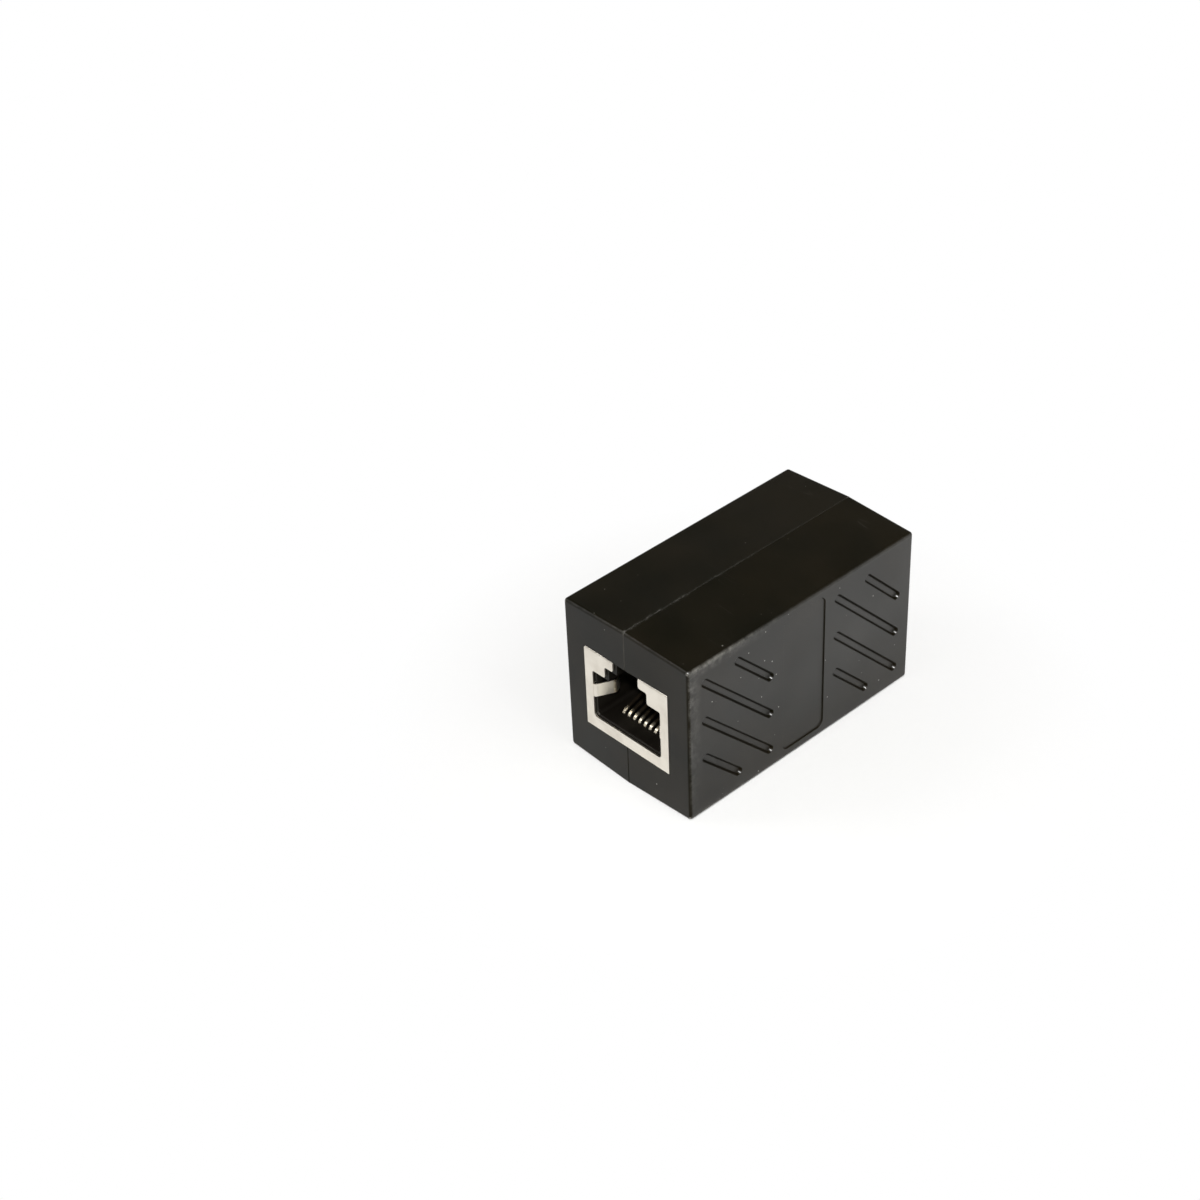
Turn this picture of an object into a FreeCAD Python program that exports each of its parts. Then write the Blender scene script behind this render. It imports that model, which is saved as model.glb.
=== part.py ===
# Inline coupler that joins two eight-way network plugs end to end: two moulded half shells
# hold a small circuit board with a shielded socket at each end.
#
# Millimetres. X runs across the coupler from label side to label side, Y along the plugs and
# Z up. The origin is the middle of the underside. Socket A faces -Y and socket B faces +Y.
# A socket has its own frame: Y runs inwards from its metal face and Z from its mid height.

import FreeCAD, Part
import math
import os
import Sketcher

PARTS_FOLDER = "parts"

# The driving dimensions, each with what it measures.
DIMENSIONS = [
    ("body_width", 23.4, "across the two label sides"),
    ("body_length", 43.9, "end to end at the seam"),
    ("body_height", 25.85, "right half, top to bottom at the seam"),
    ("seam_step", 0.035, "how far the left half stands proud at top and bottom"),
    ("side_drop", 0.45, "draft of top and bottom, seam to label side"),
    ("end_draft", 0.17, "draft of each end, seam to label side"),
    ("edge_round", 0.5, "rounding of the outer edges"),
    ("seam_bevel", 0.08, "bevel along the seam"),
    ("wall", 1.6, "wall of the top, bottom and label sides"),
    ("end_wall", 1.8, "wall of the ends, round the sockets"),
    ("seam_lip_width", 0.6, "tongue along the seam"),
    ("seam_lip_height", 0.7, "how far the tongue enters the other half"),
    ("lip_gap", 0.05, "clearance of the tongue in its groove"),
    ("grip_width", 1.45, "width of a grip groove"),
    ("grip_depth", 0.45, "depth of a grip groove"),
    ("grip_count", 4, "grooves in a group"),
    ("grip_step", 6.24, "from groove to groove, along Y"),
    ("grip_reach_y", 6.1, "groove ends from the group's middle, along Y"),
    ("grip_reach_z", 9.4, "groove ends from the group's middle, along Z"),
    ("grip_place", 12.65, "middle of a group from the middle of the coupler"),
    ("panel_width", 8.2, "label recess along Y"),
    ("panel_height", 22.4, "label recess along Z"),
    ("panel_round", 1.2, "corner radius of the label recess"),
    ("panel_depth", 0.18, "depth of the label recess"),
    ("rib_thick", 1.2, "ribs that clamp sockets and board"),
    ("rib_front", 6.2, "front rib from the end of the coupler"),
    ("rib_back", 12.0, "back rib from the end of the coupler"),
    ("boss_diameter", 3.6, "bosses that join the halves"),
    ("boss_place", 4.1, "boss from the end of the coupler"),
    ("pin_diameter", 1.8, "locating pins of the left half"),
    ("pin_length", 2.2, "how far a pin enters the right half"),
    ("pin_gap", 0.04, "clearance round a pin"),
    ("socket_gap", 0.05, "clearance between a socket and the shells"),
    ("face_inset", 0.05, "metal face behind the end of the coupler"),
    ("shield_width", 15.8, "socket shield across"),
    ("shield_rise", 6.65, "top of the shield above the socket's middle"),
    ("shield_drop", 6.45, "foot of the shield below the socket's middle"),
    ("shield_depth", 17.4, "front to back"),
    ("sheet", 0.25, "shield metal"),
    ("sheet_bend", 0.35, "outer radius where the sheet is folded"),
    ("mouth_width", 12.9, "opening in the metal face"),
    ("mouth_floor", 4.6, "its foot below the socket's middle"),
    ("mouth_shoulder", 3.2, "its main top edge above the middle"),
    ("mouth_bevel", 0.35, "cut corners at its foot"),
    ("step_width", 8.0, "step for the plug's latch"),
    ("step_top", 5.05, "top of the step above the middle"),
    ("notch_width", 4.8, "notch above the step"),
    ("finger_width", 2.1, "spring finger along Z"),
    ("finger_sheet", 0.2, "spring finger metal"),
    ("finger_lift", -0.15, "finger's middle above the socket's middle"),
    ("finger_bend", 0.4, "bend where the finger leaves the face"),
    ("finger_lean", 26, "degrees that the finger leans inwards"),
    ("finger_run", 2.3, "straight part of the finger"),
    ("finger_curl", 0.9, "bend radius near its tip"),
    ("finger_turn", 55, "degrees of that bend"),
    ("finger_tip", 0.5, "straight tip behind the bend"),
    ("peg_width", 1.6, "ground peg under each side of the shield"),
    ("peg_place", 9.0, "pegs and posts behind the metal face"),
    ("peg_reach", 0.8, "how far pegs and posts pass the board"),
    ("insert_inset", 0.35, "insert's front behind the metal face"),
    ("insert_gap", 0.05, "clearance between insert and shield"),
    ("ledge", 0.48, "rim of the insert seen inside the metal opening"),
    ("plug_depth", 12.8, "metal face to the plug's stop"),
    ("core_wall", 1.4, "walls round the insert's rear core"),
    ("post_diameter", 3.1, "board posts of the insert"),
    ("post_spacing", 11.43, "between the two posts"),
    ("contact_count", 8, "contacts in a socket"),
    ("contact_spacing", 1.016, "contact to contact"),
    ("contact_width", 0.42, "contact across"),
    ("contact_thick", 0.3, "contact metal"),
    ("contact_gap", 0.1, "clearance beside a contact in the insert"),
    ("contact_inset", 2.65, "front bend behind the metal face"),
    ("contact_run", 5.2, "lower run below the socket's middle"),
    ("contact_bend", 0.8, "radius of the front bend"),
    ("arm_rise", 17, "degrees that the free arm rises"),
    ("comb_depth", 1.2, "slots in the stop wall that hold the free ends"),
    ("comb_travel", 1.3, "slot room above and below a free end"),
    ("arm_slot_end", 7.5, "rear of the slots in the cavity floor"),
    ("tail_front", 13.8, "front row of tails behind the metal face"),
    ("tail_step", 2.54, "front row to back row"),
    ("tail_reach", 0.9, "how far a tail passes the board"),
    ("carrier_front", 13.05, "contact carrier behind the metal face"),
    ("carrier_margin", 1.4, "carrier beside the outer contacts"),
    ("carrier_height", 3.8, "carrier above the board"),
    ("carrier_gap", 0.05, "clearance round the carrier and its contacts"),
    ("board_thick", 1.6, "circuit board"),
    ("board_margin", 1.1, "board beside the shield"),
    ("board_gap", 0.05, "clearance round the board"),
    ("tail_hole", 0.75, "square board hole for a tail, side to side"),
    ("post_gap", 0.05, "clearance round a post in the board"),
    ("peg_gap", 0.2, "clearance round a peg in the board"),
]


class Size:
    """A length or count with the spreadsheet formula that gives it."""

    def __init__(self, value, formula):
        self.value = float(value)
        self.formula = formula

    def __add__(self, other):
        other = as_size(other)
        return Size(self.value + other.value, f"({self.formula} + {other.formula})")

    def __sub__(self, other):
        other = as_size(other)
        return Size(self.value - other.value, f"({self.formula} - {other.formula})")

    def __mul__(self, other):
        other = as_size(other)
        return Size(self.value * other.value, f"({self.formula} * {other.formula})")

    def __truediv__(self, other):
        other = as_size(other)
        return Size(self.value / other.value, f"({self.formula} / {other.formula})")

    def __neg__(self):
        return self * -1


def as_size(number):
    """A plain number as a Size; a Size stays as it is."""
    if isinstance(number, Size):
        return number
    return Size(number, f"({number!r})")


def smaller(first, second):
    return Size(min(first.value, second.value), f"min({first.formula}; {second.formula})")


def larger(first, second):
    return Size(max(first.value, second.value), f"max({first.formula}; {second.formula})")


def sine(degrees):
    return Size(math.sin(math.radians(degrees.value)), f"sin({degrees.formula})")


def cosine(degrees):
    return Size(math.cos(math.radians(degrees.value)), f"cos({degrees.formula})")


ZERO = as_size(0)


def fill_sheet(doc):
    """Writes the driving dimensions to a spreadsheet and gives them by name."""
    sheet = doc.addObject("Spreadsheet::Sheet", "dims")
    for row, (name, value, meaning) in enumerate(DIMENSIONS, start=1):
        sheet.set(f"A{row}", name)
        sheet.set(f"B{row}", str(value))
        sheet.set(f"C{row}", meaning)
        sheet.setAlias(f"B{row}", name)
    doc.recompute()
    return {name: Size(sheet.get(name), f"dims.{name}") for name, _, _ in DIMENSIONS}


# Sketches

def sketch_on(body, name, plane, lift=ZERO):
    """A sketch on one of the body's own origin planes, lifted along that plane's normal."""
    sketch = body.newObject("Sketcher::SketchObject", name)
    support = next(item for item in body.Origin.OriginFeatures if item.Role == plane)
    sketch.AttachmentSupport = [(support, "")]
    sketch.MapMode = "FlatFace"
    sketch.setExpression(".AttachmentOffset.Base.z", lift.formula)
    return sketch


def constrain(sketch, formula, *constraint):
    """Adds a dimension to the sketch and ties it to its formula."""
    index = sketch.addConstraint(Sketcher.Constraint(*constraint))
    sketch.setExpression(f"Constraints[{index}]", formula)


def pin_point(sketch, geometry, end, x, y):
    """Fixes an end of a line, or a centre, at two sizes from the sketch's origin."""
    constrain(sketch, x.formula, "DistanceX", -1, 1, geometry, end, x.value)
    constrain(sketch, y.formula, "DistanceY", -1, 1, geometry, end, y.value)


def flat(x, y):
    return FreeCAD.Vector(x.value, y.value, 0)


def draw_arc(sketch, start, end, centre, leftwards, radius):
    """An arc from start to end, turning left or right. Gives its index and its two ends' numbers."""
    first, last = (start, end) if leftwards else (end, start)
    begin = math.atan2(first.y - centre.y, first.x - centre.x)
    finish = math.atan2(last.y - centre.y, last.x - centre.x)
    if finish < begin:
        finish += 2 * math.pi
    circle = Part.Circle(centre, FreeCAD.Vector(0, 0, 1), radius.value)
    arc = sketch.addGeometry(Part.ArcOfCircle(circle, begin, finish), False)
    constrain(sketch, radius.formula, "Radius", arc, radius.value)
    return (arc, 1, 2) if leftwards else (arc, 2, 1)


def draw_outline(sketch, corners):
    """A closed outline of straight sides along X, Y or any line.

    A corner is (x, y), or (x, y, radius) where its two sides run along the axes and the
    corner is rounded, unless the radius is ZERO. The outline runs anticlockwise.
    """
    count = len(corners)
    points = [flat(corner[0], corner[1]) for corner in corners]
    radii = [corner[2] if len(corner) == 3 else ZERO for corner in corners]
    starts = []
    ends = []
    for index, (corner, radius) in enumerate(zip(corners, radii)):
        x, y = corner[0], corner[1]
        before = points[index - 1] - points[index]
        after = points[(index + 1) % count] - points[index]
        ends.append(shift_along(x, y, before, radius))
        starts.append(shift_along(x, y, after, radius))
    lines = []
    for index in range(count):
        after = (index + 1) % count
        line = Part.LineSegment(flat(*starts[index]), flat(*ends[after]))
        lines.append(sketch.addGeometry(line, False))
    for index, radius in enumerate(radii):
        line, previous = lines[index], lines[index - 1]
        pin_point(sketch, line, 1, *starts[index])
        if radius is ZERO:
            sketch.addConstraint(Sketcher.Constraint("Coincident", previous, 2, line, 1))
            continue
        pin_point(sketch, previous, 2, *ends[index])
        start, end = flat(*ends[index]), flat(*starts[index])
        centre = start + end - points[index]
        leftwards = (points[index] - start).cross(end - points[index]).z > 0
        arc, first, last = draw_arc(sketch, start, end, centre, leftwards, radius)
        sketch.addConstraint(Sketcher.Constraint("Coincident", previous, 2, arc, first))
        sketch.addConstraint(Sketcher.Constraint("Coincident", arc, last, line, 1))


def shift_along(x, y, side, radius):
    """The point a radius away from a corner, along a side that runs along X or Y."""
    if radius is ZERO:
        return x, y
    if abs(side.x) > abs(side.y):
        return x + radius * int(math.copysign(1, side.x)), y
    return x, y + radius * int(math.copysign(1, side.y))


def draw_rectangle(sketch, left, bottom, right, top):
    draw_outline(sketch, [(left, bottom), (right, bottom), (right, top), (left, top)])


def draw_circle(sketch, x, y, diameter):
    circle = Part.Circle(flat(x, y), FreeCAD.Vector(0, 0, 1), diameter.value / 2)
    index = sketch.addGeometry(circle, False)
    pin_point(sketch, index, 3, x, y)
    constrain(sketch, diameter.formula, "Diameter", index, diameter.value)


def draw_slot(sketch, first, last, width):
    """A slot with round ends between two centres, running along (1, -1)."""
    radius = width / 2
    offset = radius / as_size(2 ** 0.5)
    lines = []
    for start, end, sign in ((first, last, -1), (last, first, 1)):
        shift = FreeCAD.Vector(offset.value, offset.value, 0) * sign
        lines.append(sketch.addGeometry(Part.LineSegment(flat(*start) + shift, flat(*end) + shift), False))
    for line, following, middle, sign in ((lines[0], lines[1], last, -1), (lines[1], lines[0], first, 1)):
        shift = FreeCAD.Vector(offset.value, offset.value, 0) * sign
        centre = flat(*middle)
        arc, start, end = draw_arc(sketch, centre + shift, centre - shift, centre, True, radius)
        pin_point(sketch, arc, 3, *middle)
        sketch.addConstraint(Sketcher.Constraint("Tangent", line, 2, arc, start))
        sketch.addConstraint(Sketcher.Constraint("Tangent", arc, end, following, 1))


def draw_path(sketch, steps):
    """An open path of lines and arcs. A step is (x, y) or (x, y, centre, radius, leftwards)."""
    here = steps[0]
    previous = None
    pinned = False
    for step in steps[1:]:
        start, end = flat(here[0], here[1]), flat(step[0], step[1])
        if len(step) == 2:
            index, first, last = sketch.addGeometry(Part.LineSegment(start, end), False), 1, 2
            if not pinned:
                pin_point(sketch, index, 1, here[0], here[1])
            pin_point(sketch, index, 2, step[0], step[1])
        else:
            _, _, centre, radius, leftwards = step
            index, first, last = draw_arc(sketch, start, end, flat(*centre), leftwards, radius)
        if previous is not None:
            sketch.addConstraint(Sketcher.Constraint("Coincident", *previous, index, first))
        previous = (index, last)
        pinned = len(step) == 2
        here = step


# Features

def extrude(body, kind, name, sketch, length, backwards=False, both=False):
    """A Pad or a Pocket of a sketch, one way or the same length in all about its plane."""
    feature = body.newObject(f"PartDesign::{kind}", name)
    feature.Profile = sketch
    feature.Type = "Length"
    feature.setExpression("Length", length.formula)
    feature.Reversed = backwards
    if both:
        feature.SideType = "Symmetric"
    return feature


def pad(body, name, sketch, length, backwards=False, both=False):
    return extrude(body, "Pad", name, sketch, length, backwards, both)


def pocket(body, name, sketch, depth, backwards=False, both=False):
    return extrude(body, "Pocket", name, sketch, depth, backwards, both)


def repeat_across(body, name, originals, dims):
    """Repeats what serves one contact for all contacts of a socket, along X."""
    feature = body.newObject("PartDesign::LinearPattern", name)
    feature.Originals = originals
    axis = next(item for item in body.Origin.OriginFeatures if item.Role == "X_Axis")
    feature.Direction = (axis, [""])
    feature.setExpression("Length", contact_field(dims).formula)
    feature.setExpression("Occurrences", "dims.contact_count")
    body.Tip = feature
    return feature


def dress_edges(body, kind, name, base, amount, choose):
    """A Fillet or a Chamfer on the edges of a feature that a test picks."""
    body.Document.recompute()
    names = [f"Edge{index}" for index, edge in enumerate(base.Shape.Edges, start=1) if choose(edge)]
    feature = body.newObject(f"PartDesign::{kind}", name)
    feature.Base = (base, names)
    feature.setExpression("Radius" if kind == "Fillet" else "Size", amount.formula)
    return feature


def new_body(doc, label):
    body = doc.addObject("PartDesign::Body", label)
    body.Label = label
    return body


def end_points(edge):
    return [vertex.Point for vertex in edge.Vertexes]


# Sizes that several pieces share

def contact_field(dims):
    """Width from the first contact's middle to the last one's."""
    return dims["contact_spacing"] * (dims["contact_count"] - 1)


def middle_height(dims):
    """The sockets' middle, and the shells', above the underside."""
    return dims["body_height"] / 2 + dims["seam_step"]


def face_place(dims):
    """A socket's metal face from the middle of the coupler."""
    return dims["body_length"] / 2 - dims["face_inset"]


def board_top(dims):
    """Top of the board below the sockets' middle."""
    return -dims["shield_drop"]


def board_foot(dims):
    return board_top(dims) - dims["board_thick"]


def board_width(dims):
    return dims["shield_width"] + dims["board_margin"] * 2


def board_length(dims):
    return dims["body_length"] - (dims["end_wall"] + dims["board_gap"]) * 2


def boss_height(dims):
    """Bosses below the board clear it and carry it. Those above mirror them."""
    return -board_foot(dims) + dims["board_gap"] + dims["boss_diameter"] / 2


def mouth_corners(dims, ledge, radius):
    """The stepped opening, anticlockwise, drawn in by a ledge. The notch's top is left out."""
    half = dims["mouth_width"] / 2 - ledge
    step = dims["step_width"] / 2 - ledge
    notch = dims["notch_width"] / 2 - ledge
    floor = -dims["mouth_floor"] + ledge
    shoulder = dims["mouth_shoulder"] - ledge
    step_top = dims["step_top"] - ledge
    bevel = dims["mouth_bevel"]
    right = [
        (half - bevel, floor), (half, floor + bevel), (half, shoulder, radius),
        (step, shoulder, radius), (step, step_top, radius), (notch, step_top, radius),
    ]
    return right, [(-corner[0], *corner[1:]) for corner in reversed(right)]


def draw_mouth(sketch, dims, ledge, notch_top, radius):
    right, left = mouth_corners(dims, ledge, radius)
    half = dims["notch_width"] / 2 - ledge
    draw_outline(sketch, right + [(half, notch_top), (-half, notch_top)] + left)


# The two half shells

def draw_cross_section(sketch, dims, side, reach, seam_height):
    """Half a section across the shell: its top and bottom fall away from the seam."""
    middle = middle_height(dims)
    side_height = seam_height - dims["side_drop"]
    corners = [
        (ZERO, middle - seam_height), (reach * side, middle - side_height),
        (reach * side, middle + side_height), (ZERO, middle + seam_height),
    ]
    if side < 0:
        corners.reverse()
    draw_outline(sketch, corners)


def build_shell(doc, dims, label, side, half_height):
    """One half of the casing: side is 1 for the right half and -1 for the left one."""
    body = new_body(doc, label)
    section = sketch_on(body, label + "_section", "XZ_Plane")
    draw_cross_section(section, dims, side, dims["body_width"] / 2, half_height)
    pad(body, label + "_form", section, dims["body_length"] + dims["end_wall"], both=True)
    trimmed = trim_ends(body, label, dims, side)
    rounded = dress_edges(
        body, "Fillet", label + "_edges", trimmed, dims["edge_round"],
        lambda edge: any(abs(point.x) > dims["wall"].value for point in end_points(edge)),
    )
    dress_edges(
        body, "Chamfer", label + "_seam_bevel", rounded, dims["seam_bevel"],
        lambda edge: all(abs(point.x) < 1e-6 for point in end_points(edge)),
    )
    hollow_shell(body, label, dims, side, half_height)
    add_ribs(body, label, dims, side)
    add_bosses(body, label, dims, side)
    if side < 0:
        add_tongue(body, label, dims, half_height)
        add_pins(body, label, dims)
    else:
        cut_groove(body, label, dims, half_height)
        cut_pin_sockets(body, label, dims)
    cut_socket_way(body, label, dims)
    cut_board_way(body, label, dims)
    cut_grips(body, label, dims, side)
    cut_panel(body, label, dims, side)
    return body


def trim_ends(body, label, dims, side):
    """Cuts both ends to length, with the draft that falls away from the seam."""
    sketch = sketch_on(body, label + "_end_sketch", "XY_Plane", middle_height(dims))
    half_length = dims["body_length"] / 2
    outside = half_length + dims["end_wall"]
    face = dims["body_width"] / 2 * side
    for end in (-1, 1):
        corners = [
            (ZERO, half_length * end), (face, (half_length - dims["end_draft"]) * end),
            (face, outside * end), (ZERO, outside * end),
        ]
        if side * end < 0:
            corners.reverse()
        draw_outline(sketch, corners)
    return pocket(body, label + "_ends", sketch, dims["body_height"] * 2, both=True)


def hollow_shell(body, label, dims, side, half_height):
    """The inside follows the outside at the wall's thickness."""
    sketch = sketch_on(body, label + "_hollow_sketch", "XZ_Plane")
    draw_cross_section(sketch, dims, side, dims["body_width"] / 2 - dims["wall"], half_height - dims["wall"])
    pocket(body, label + "_hollow", sketch, dims["body_length"] - dims["end_wall"] * 2, both=True)


def add_ribs(body, label, dims, side):
    """Cross walls, which the cuts for sockets and board turn into clamping ribs."""
    reach = (dims["body_width"] - dims["wall"]) / 2
    for index, place in enumerate(("rib_front", "rib_back")):
        for end in (-1, 1):
            lift = (dims["body_length"] / 2 - dims[place]) * end
            name = f"{label}_rib_{index}_{'near' if end > 0 else 'far'}"
            sketch = sketch_on(body, name + "_sketch", "XZ_Plane", lift)
            draw_cross_section(sketch, dims, side, reach, (dims["body_height"] - dims["wall"]) / 2)
            pad(body, name, sketch, dims["rib_thick"], both=True)


def draw_at_bosses(sketch, dims, diameter):
    """A circle at each of the four bosses."""
    middle = middle_height(dims)
    along = dims["body_length"] / 2 - dims["boss_place"]
    up = boss_height(dims)
    for y_sign in (-1, 1):
        for z_sign in (-1, 1):
            draw_circle(sketch, along * y_sign, middle + up * z_sign, diameter)


def add_bosses(body, label, dims, side):
    sketch = sketch_on(body, label + "_boss_sketch", "YZ_Plane")
    draw_at_bosses(sketch, dims, dims["boss_diameter"])
    pad(body, label + "_bosses", sketch, (dims["body_width"] - dims["wall"]) / 2, backwards=side < 0)


def add_pins(body, label, dims):
    sketch = sketch_on(body, label + "_pin_sketch", "YZ_Plane")
    draw_at_bosses(sketch, dims, dims["pin_diameter"])
    pad(body, label + "_pins", sketch, dims["pin_length"])


def cut_pin_sockets(body, label, dims):
    sketch = sketch_on(body, label + "_hole_sketch", "YZ_Plane")
    draw_at_bosses(sketch, dims, dims["pin_diameter"] + dims["pin_gap"] * 2)
    pocket(body, label + "_holes", sketch, dims["pin_length"] + dims["pin_gap"], backwards=True)


def draw_lip(sketch, dims, half_height, gap):
    """The ring that the tongue or its groove covers on the seam, in the middle of the wall."""
    middle = middle_height(dims)
    for sign in (1, -1):
        shift = (dims["seam_lip_width"] / 2 + gap) * sign
        half_length = dims["body_length"] / 2 - dims["end_wall"] / 2 + shift
        height = half_height - dims["wall"] / 2 + shift
        draw_rectangle(sketch, -half_length, middle - height, half_length, middle + height)


def add_tongue(body, label, dims, half_height):
    sketch = sketch_on(body, label + "_tongue_sketch", "YZ_Plane")
    draw_lip(sketch, dims, half_height, ZERO)
    pad(body, label + "_tongue", sketch, dims["seam_lip_height"])


def cut_groove(body, label, dims, half_height):
    sketch = sketch_on(body, label + "_groove_sketch", "YZ_Plane")
    draw_lip(sketch, dims, half_height + dims["seam_step"], dims["lip_gap"])
    pocket(body, label + "_groove", sketch, dims["seam_lip_height"] + dims["lip_gap"], backwards=True)


def cut_socket_way(body, label, dims):
    """The way for the sockets, right through both ends and the ribs."""
    sketch = sketch_on(body, label + "_way_sketch", "XZ_Plane")
    middle = middle_height(dims)
    gap = dims["socket_gap"]
    half = dims["shield_width"] / 2 + gap
    draw_rectangle(sketch, -half, middle - dims["shield_drop"] - gap, half, middle + dims["shield_rise"] + gap)
    pocket(body, label + "_way", sketch, dims["body_length"] + dims["end_wall"], both=True)


def cut_board_way(body, label, dims):
    """The slots in the ribs that hold the board's edges."""
    sketch = sketch_on(body, label + "_board_sketch", "XZ_Plane")
    middle = middle_height(dims)
    gap = dims["board_gap"]
    half = board_width(dims) / 2 + gap
    draw_rectangle(sketch, -half, middle + board_foot(dims) - gap, half, middle + board_top(dims) + gap)
    pocket(body, label + "_board", sketch, board_length(dims) + gap * 2, both=True)


def cut_grips(body, label, dims, side):
    """Slanting grooves with round ends, cut short by a frame round each group."""
    face = dims["body_width"] / 2 * side
    sketch = sketch_on(body, label + "_grip_sketch", "YZ_Plane", face)
    middle = middle_height(dims)
    reach_y = dims["grip_reach_y"]
    reach_z = dims["grip_reach_z"]
    count = int(dims["grip_count"].value)
    for end in (-1, 1):
        for index in range(count):
            half_sum = dims["grip_step"] * (as_size(index) - (dims["grip_count"] - 1) / 2) / 2
            upper = larger(-reach_y - half_sum, half_sum - reach_z)
            lower = smaller(reach_y - half_sum, half_sum + reach_z)
            place = dims["grip_place"] * end
            draw_slot(
                sketch,
                (place + half_sum + upper, middle + half_sum - upper),
                (place + half_sum + lower, middle + half_sum - lower),
                dims["grip_width"],
            )
    pocket(body, label + "_grips", sketch, dims["grip_depth"], backwards=side < 0)


def cut_panel(body, label, dims, side):
    """The shallow recess between the two groups of grooves."""
    face = dims["body_width"] / 2 * side
    sketch = sketch_on(body, label + "_panel_sketch", "YZ_Plane", face)
    middle = middle_height(dims)
    half_width = dims["panel_width"] / 2
    half_height = dims["panel_height"] / 2
    radius = dims["panel_round"]
    draw_outline(sketch, [
        (-half_width, middle - half_height, radius), (half_width, middle - half_height, radius),
        (half_width, middle + half_height, radius), (-half_width, middle + half_height, radius),
    ])
    pocket(body, label + "_panel", sketch, dims["panel_depth"], backwards=side < 0)


# The circuit board

def build_board(doc, dims):
    body = new_body(doc, "circuit_board")
    lift = middle_height(dims) + board_foot(dims)
    sketch = sketch_on(body, "board_outline", "XY_Plane", lift)
    half_width = board_width(dims) / 2
    half_length = board_length(dims) / 2
    draw_rectangle(sketch, -half_width, -half_length, half_width, half_length)
    pad(body, "board_sheet", sketch, dims["board_thick"])

    holes = sketch_on(body, "board_hole_sketch", "XY_Plane", lift)
    half_hole = dims["tail_hole"] / 2
    for turn in (1, -1):
        for index in range(int(dims["contact_count"].value)):
            x = contact_place(dims, index) * turn
            y = board_place(dims, tail_place(dims, index), turn)
            draw_rectangle(holes, x - half_hole, y - half_hole, x + half_hole, y + half_hole)
        for sign in (-1, 1):
            y = board_place(dims, dims["peg_place"], turn)
            draw_circle(holes, dims["post_spacing"] / 2 * sign, y, dims["post_diameter"] + dims["post_gap"] * 2)
            peg = (dims["shield_width"] - dims["sheet"]) / 2 * sign
            half_peg = dims["peg_width"] / 2 + dims["peg_gap"]
            half_slot = dims["sheet"] / 2 + dims["peg_gap"]
            draw_rectangle(holes, peg - half_slot, y - half_peg, peg + half_slot, y + half_peg)
    pocket(body, "board_holes", holes, dims["board_thick"], backwards=True)
    return body


def contact_place(dims, index):
    """A contact's place across the socket."""
    return dims["contact_spacing"] * as_size(index) - contact_field(dims) / 2


def tail_place(dims, index):
    """A tail's place behind the metal face: every second tail is in the back row."""
    return dims["tail_front"] + dims["tail_step"] * (index % 2)


def board_place(dims, depth, turn):
    """The place along the coupler of what lies a depth behind a metal face."""
    return (depth - face_place(dims)) * turn


# The pieces of a socket, in its own frame

def build_shield(doc, dims, label):
    """Folded sheet, open below, with a stepped opening and a spring finger on each side."""
    body = new_body(doc, label)
    half = dims["shield_width"] / 2
    sheet = dims["sheet"]
    foot = -dims["shield_drop"]

    block = sketch_on(body, label + "_block_sketch", "XY_Plane", foot)
    draw_rectangle(block, -half, ZERO, half, dims["shield_depth"])
    box = pad(body, label + "_block", block, dims["shield_drop"] + dims["shield_rise"])
    top = dims["shield_rise"].value
    folded = dress_edges(
        body, "Fillet", label + "_folds", box, dims["sheet_bend"],
        lambda edge: min(point.z for point in end_points(edge)) > top - 1e-6,
    )
    inside = sketch_on(body, label + "_inside_sketch", "XY_Plane", foot)
    draw_rectangle(inside, -half + sheet, sheet, half - sheet, dims["shield_depth"] - sheet)
    pocket(body, label + "_inside", inside, dims["shield_drop"] + dims["shield_rise"] - sheet, backwards=True)

    mouth = sketch_on(body, label + "_mouth_sketch", "XZ_Plane")
    draw_mouth(mouth, dims, ZERO, dims["shield_rise"] + sheet, dims["mouth_bevel"])
    pocket(body, label + "_mouth", mouth, dims["sheet_bend"])

    pegs = sketch_on(body, label + "_peg_sketch", "XY_Plane", foot)
    for sign in (-1, 1):
        centre = (half - sheet / 2) * sign
        draw_rectangle(pegs, centre - sheet / 2, dims["peg_place"] - dims["peg_width"] / 2,
                       centre + sheet / 2, dims["peg_place"] + dims["peg_width"] / 2)
    pad(body, label + "_pegs", pegs, dims["board_thick"] + dims["peg_reach"], backwards=True)
    for sign in (-1, 1):
        add_finger(body, label, dims, sign)
    return body


def finger_steps(dims, sign):
    """The finger's middle line, seen from above: out of the face, inwards, then its curled tip."""
    start_x = dims["mouth_width"] / 2
    bend = dims["finger_bend"]
    lean = dims["finger_lean"]
    curl = dims["finger_curl"]
    out = dims["finger_turn"] - lean
    face = dims["sheet"] / 2
    bend_centre = (start_x, face + bend)
    leave = (start_x - bend * cosine(lean), face + bend - bend * sine(lean))
    run_end = (leave[0] - dims["finger_run"] * sine(lean), leave[1] + dims["finger_run"] * cosine(lean))
    curl_centre = (run_end[0] + curl * cosine(lean), run_end[1] + curl * sine(lean))
    curl_end = (curl_centre[0] - curl * cosine(out), curl_centre[1] + curl * sine(out))
    tip = (curl_end[0] + dims["finger_tip"] * sine(out), curl_end[1] + dims["finger_tip"] * cosine(out))
    root = (start_x + dims["sheet_bend"], face)
    flip = as_size(sign)
    points = [(point[0] * flip, point[1]) for point in
              (root, (start_x, face), leave, run_end, curl_end, tip, bend_centre, curl_centre)]
    root, begin, leave, run_end, curl_end, tip, bend_centre, curl_centre = points
    leftwards = sign < 0
    return [root, begin, (*leave, bend_centre, bend, leftwards), run_end,
            (*curl_end, curl_centre, curl, leftwards), tip]


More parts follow.
